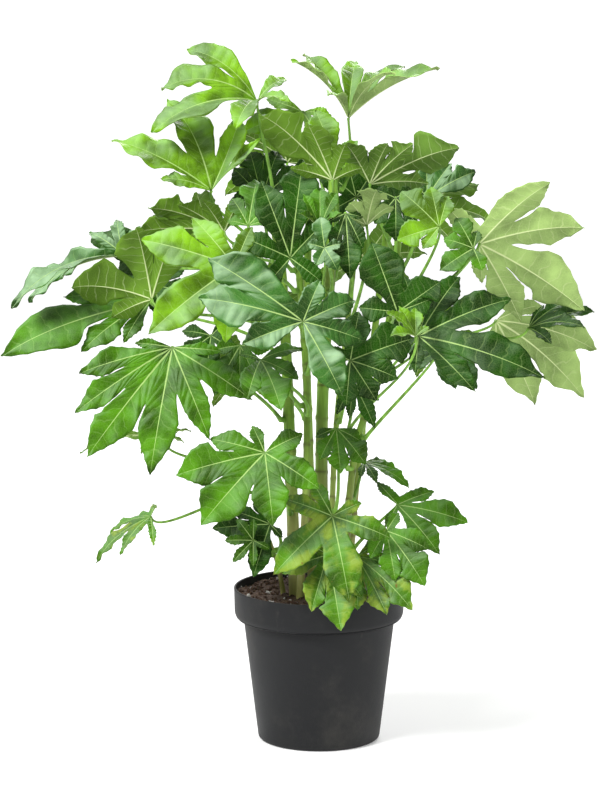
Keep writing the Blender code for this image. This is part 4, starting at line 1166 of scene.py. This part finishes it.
class FatsiaStudio(bpy.types.PropertyGroup):
    """The floor, lights and camera"""

    floor_colour: bpy.props.FloatVectorProperty(
        name="Floor", description="Plain pale floor", default=(0.75, 0.75, 0.75), subtype="COLOR"
    )
    glow: bpy.props.FloatProperty(name="Far glow", description="Light that the floor gives far off", default=0.95)
    near_glow: bpy.props.FloatProperty(name="Near glow", description="Light it gives near the pot", default=0.2)
    sky: bpy.props.FloatProperty(name="Sky", description="Strength of the even light", default=0.3)
    key: bpy.props.FloatProperty(
        name="Key light", description="Strength of the large soft light", default=210, unit="POWER"
    )
    lens: bpy.props.FloatProperty(name="Lens", description="Focal length in mm", default=130.5)


class FATSIA_OT_pot(bpy.types.Operator):
    """Turn the plastic pot: a tapered shell with a deep rounded collar and drain holes"""

    bl_idname = "fatsia.pot"
    bl_label = "Pot"

    def execute(self, context):
        settings = context.scene.fatsia_pot
        collar = POT_HEIGHT - COLLAR_HEIGHT
        outside = rounded(
            [
                (RIM_RADIUS - WALL, POT_HEIGHT - 4 * MM),
                (RIM_RADIUS - WALL, POT_HEIGHT),
                (RIM_RADIUS, POT_HEIGHT),
                (RIM_RADIUS - 0.8 * MM, collar + 4 * MM),
                (RIM_RADIUS - 4.5 * MM, collar),
                (BODY_TOP_RADIUS + 0.2 * MM, collar),
                (BODY_TOP_RADIUS, collar - 3 * MM),
                (BASE_RADIUS, 0),
                (0, 0),
            ],
            [1.1 * MM, 1.1 * MM, 5 * MM, 3 * MM, 1 * MM, 1 * MM, 4.5 * MM],
        )
        inside = [
            (0, WALL),
            (BASE_RADIUS - WALL, WALL),
            (BODY_TOP_RADIUS - WALL, collar + WALL),
            (RIM_RADIUS - WALL, collar + 2 * WALL),
        ]
        shape = Shape()
        shape.add(*turned(np.concatenate([inside, outside]), 144), 0)
        finish = Finish("pot_plastic")
        dust = finish.noise(9, 5, roughness=0.7)
        scuffs = finish.noise(60, 5, (1, 1, 0.25), 0.75)
        grain = finish.noise(900, 2)
        tint = finish.blend(dust.step(0.45, 0.8) * 0.35, settings.plastic_colour, settings.dust_colour)
        tint = finish.blend(scuffs.step(0.63, 0.78) * 0.4, tint, settings.dust_colour)
        material = finish.finished(
            Base_Color=tint,
            Roughness=(dust * 0.25 + 0.42).clipped(),
            Normal=finish.bump(grain + scuffs * 0.5, 0.0003, 0.5),
            Specular_IOR_Level=0.2,
        )
        pot = shape.piece("pot_shell", [material], "pot_plastic", "pot")
        cutters = []
        for hole in range(DRAIN_HOLES):
            turn = 2 * math.pi * hole / DRAIN_HOLES
            middle = np.array([DRAIN_CIRCLE * math.cos(turn), DRAIN_CIRCLE * math.sin(turn), 0])
            points, faces, _ = tube(middle + np.array([(0, 0, -WALL), (0, 0, 3 * WALL)]), np.full(2, DRAIN_RADIUS), 24)
            mesh = bpy.data.meshes.new("drain")
            mesh.from_pydata(points, [], faces)
            cutters.append(bpy.data.objects.new("drain", mesh))
            context.scene.collection.objects.link(cutters[-1])
            cut = pot.modifiers.new("Drain", "BOOLEAN")
            cut.object = cutters[-1]
            cut.operation = "DIFFERENCE"
            cut.solver = "EXACT"
        context.view_layer.update()
        mesh = bpy.data.meshes.new_from_object(pot.evaluated_get(context.evaluated_depsgraph_get()))
        pot.modifiers.clear()
        pot.data = mesh
        for cutter in cutters:
            bpy.data.objects.remove(cutter)
        return {"FINISHED"}


class FATSIA_OT_soil(bpy.types.Operator):
    """Fill the pot with peat and scatter crumbs and pale flecks on it"""

    bl_idname = "fatsia.soil"
    bl_label = "Soil"

    def execute(self, context):
        settings = context.scene.fatsia_pot
        rng = np.random.default_rng(7)
        brim = RIM_RADIUS - WALL - GAP
        collar = POT_HEIGHT - COLLAR_HEIGHT
        top = [(brim * ring / 40, SOIL_LEVEL) for ring in range(1, 41)]
        walls = [
            (BODY_TOP_RADIUS - WALL - GAP, collar + WALL + GAP),
            (BASE_RADIUS - WALL - GAP, WALL + GAP),
            (0, WALL + GAP),
        ]
        points, faces = turned([(0, SOIL_LEVEL), *top, (brim, collar + 2 * WALL + GAP), *walls], 128)
        upper = points[:, 2] > SOIL_LEVEL - MM
        points[upper, 2] = soil_height(points[upper, 0], points[upper, 1])
        shape = Shape()
        shape.add(points, faces, 0)
        lump, lump_faces = crumb_shape(rng)
        count = settings.crumbs
        reach = brim * 0.975 * np.sqrt(rng.uniform(0, 1, count))
        turn = rng.uniform(0, 2 * math.pi, count)
        x, y = reach * np.cos(turn), reach * np.sin(turn)
        size = rng.uniform(0.8, 2.6, count) * MM
        spin = rng.uniform(0, 2 * math.pi, count)
        stretch = rng.uniform(0.6, 1.5, (count, 3)) * size[:, None]
        lumps = lump[None] * stretch[:, None]
        turned_x = lumps[..., 0] * np.cos(spin)[:, None] - lumps[..., 1] * np.sin(spin)[:, None]
        turned_y = lumps[..., 0] * np.sin(spin)[:, None] + lumps[..., 1] * np.cos(spin)[:, None]
        centre = np.stack([x, y, soil_height(x, y) + 0.3 * size], -1)
        placed = np.stack([turned_x, turned_y, lumps[..., 2]], -1) + centre[:, None]
        pale = rng.uniform(0, 1, count) < 0.13
        for number, chosen in enumerate((~pale, pale)):
            some = placed[chosen]
            numbers = np.arange(len(some))[:, None, None] * len(lump) + lump_faces[None]
            shape.add(some.reshape(-1, 3), numbers.reshape(-1, 3), number, flat=True)
        finish = Finish("peat")
        crumbs = finish.noise(420, 5, roughness=0.7)
        damp = finish.noise(30, 3)
        tint = finish.blend(crumbs.step(0.3, 0.7), shade(settings.soil_colour, 0.25), shade(settings.soil_colour, 1.5))
        tint = finish.blend(damp.step(0.4, 0.7) * 0.4, tint, shade(settings.soil_colour, 0.5))
        tint = finish.blend(finish.noise(800, 2).step(0.7, 0.76) * 0.6, tint, settings.fleck_colour)
        peat = finish.finished(Base_Color=tint, Roughness=0.95, Normal=finish.bump(crumbs, 0.003))
        finish = Finish("pale_crumbs")
        grain = finish.noise(700, 3)
        tint = finish.blend(grain.step(0.3, 0.7), shade(settings.fleck_colour, 0.6), settings.fleck_colour)
        flecks = finish.finished(Base_Color=tint, Roughness=0.9, Normal=finish.bump(grain, 0.001))
        shape.piece("peat_fill", [peat, flecks], "soil", "soil")
        return {"FINISHED"}


class FATSIA_OT_canes(bpy.types.Operator):
    """Grow the canes, with the small leaves that are one piece with them"""

    bl_idname = "fatsia.canes"
    bl_label = "Canes"

    def execute(self, context):
        leaves, stems = context.scene.fatsia_leaves, context.scene.fatsia_stems
        bark = stem_finish("cane_bark", stems.cane_colour, stems.old_colour, stems.old_height)
        stem_finish("leaf_stalk", stems.stalk_colour, shade(stems.stalk_colour, 0.6))
        rows, paths = layout_by_node(), cane_paths()
        for number, (name, entry) in enumerate({**CANES, **SHOOTS}.items()):
            shape, stem = Shape(), Shape()
            finishes = add_leaves(shape, rows.get(name, []), paths, leaves)
            add_cane(stem, entry, stems, FIRST_CANE_SEED + number)
            shape.merge(stem, len(finishes))
            slot = "cane" if name in CANES else "shoot"
            shape.piece(f"{name}_grown", [*finishes, bark], slot, name)
        return {"FINISHED"}


class FATSIA_OT_leaves(bpy.types.Operator):
    """Grow the leaves that stand on their own stalks"""

    bl_idname = "fatsia.leaves"
    bl_label = "Leaves"

    def execute(self, context):
        paths = cane_paths()
        for node, rows in layout_by_node().items():
            if node in paths:
                continue
            shape = Shape()
            finishes = add_leaves(shape, rows, paths, context.scene.fatsia_leaves)
            shape.piece(f"{node}_grown", finishes, f"leaf_{rows[0][1]['tone']}", node)
        return {"FINISHED"}


class FATSIA_OT_studio(bpy.types.Operator):
    """Lay the pale floor, hang the soft lights and place the camera"""

    bl_idname = "fatsia.studio"
    bl_label = "Studio"

    def execute(self, context):
        settings = context.scene.fatsia_studio
        scene = context.scene
        mesh = bpy.data.meshes.new("floor")
        corners = [(-FLOOR_REACH, -FLOOR_REACH, 0), (FLOOR_REACH, -FLOOR_REACH, 0)]
        corners += [(FLOOR_REACH, FLOOR_REACH, 0), (-FLOOR_REACH, FLOOR_REACH, 0)]
        mesh.from_pydata(corners, [], [(0, 1, 2, 3)])
        floor = bpy.data.objects.new("floor", mesh)
        scene.collection.objects.link(floor)
        finish = Finish("floor_paper")
        place = finish.node("ShaderNodeTexCoord", {}, {}, "Object")
        depth = finish.node("ShaderNodeSeparateXYZ", {}, {0: place}, 1)
        mesh.materials.append(
            finish.finished(
                Base_Color=tuple(settings.floor_colour),
                Roughness=0.9,
                Emission_Color=finish.blend(depth.step(*GLOW_FROM), [settings.near_glow] * 3, [settings.glow] * 3),
                Emission_Strength=1.0,
            )
        )
        world = bpy.data.worlds.new("studio")
        world.use_nodes = True
        background = world.node_tree.nodes["Background"]
        background.inputs["Color"].default_value = (1, 1, 1, 1)
        background.inputs["Strength"].default_value = settings.sky
        scene.world = world
        for name, place, size, share in LIGHTS:
            light = bpy.data.lights.new(name, "AREA")
            light.shape = "DISK"
            light.size = size
            light.energy = settings.key * share
            lamp = bpy.data.objects.new(name, light)
            lamp.location = place
            aim = np.array([0, 0, 0.45]) - np.array(place)
            lamp.rotation_euler = (
                math.atan2(math.hypot(aim[0], aim[1]), -aim[2]),
                0,
                math.atan2(-aim[0], aim[1]),
            )
            scene.collection.objects.link(lamp)
        camera = bpy.data.objects.new("camera", bpy.data.cameras.new("camera"))
        camera.data.lens = settings.lens
        camera.data.sensor_width = 36
        camera.data.sensor_fit = "AUTO"
        camera.location = (-0.0235, -3.5, 0.972)
        camera.rotation_euler = (math.radians(90 - 8.92), 0, 0)
        camera.data.clip_end = 4 * FLOOR_REACH
        scene.collection.objects.link(camera)
        scene.camera = camera
        scene.view_settings.view_transform = "Standard"
        return {"FINISHED"}


class FATSIA_PT_panel(bpy.types.Panel):
    """The steps that build the plant, and their sizes and colours"""

    bl_idname = "FATSIA_PT_panel"
    bl_label = "Potted fatsia"
    bl_space_type = "VIEW_3D"
    bl_region_type = "UI"
    bl_category = "Fatsia"

    def draw(self, context):
        for operator in OPERATORS:
            self.layout.operator(operator.bl_idname)
        for name, group in GROUPS.items():
            box = self.layout.box()
            box.label(text=group.__doc__)
            settings = getattr(context.scene, name)
            for field in group.__annotations__:
                box.prop(settings, field)


GROUPS = {
    "fatsia_pot": FatsiaPot,
    "fatsia_stems": FatsiaStems,
    "fatsia_leaves": FatsiaLeaves,
    "fatsia_studio": FatsiaStudio,
}
OPERATORS = (FATSIA_OT_pot, FATSIA_OT_soil, FATSIA_OT_canes, FATSIA_OT_leaves, FATSIA_OT_studio)
CLASSES = (*GROUPS.values(), *OPERATORS, FATSIA_PT_panel)


def register():
    for cls in CLASSES:
        bpy.utils.register_class(cls)
    for name, group in GROUPS.items():
        setattr(bpy.types.Scene, name, bpy.props.PointerProperty(type=group))


def unregister():
    for name in GROUPS:
        delattr(bpy.types.Scene, name)
    for cls in reversed(CLASSES):
        bpy.utils.unregister_class(cls)


def main():
    register()
    bpy.ops.fatsia.pot()
    bpy.ops.fatsia.soil()
    bpy.ops.fatsia.canes()
    bpy.ops.fatsia.leaves()
    bpy.ops.fatsia.studio()


if __name__ == "__main__":
    main()
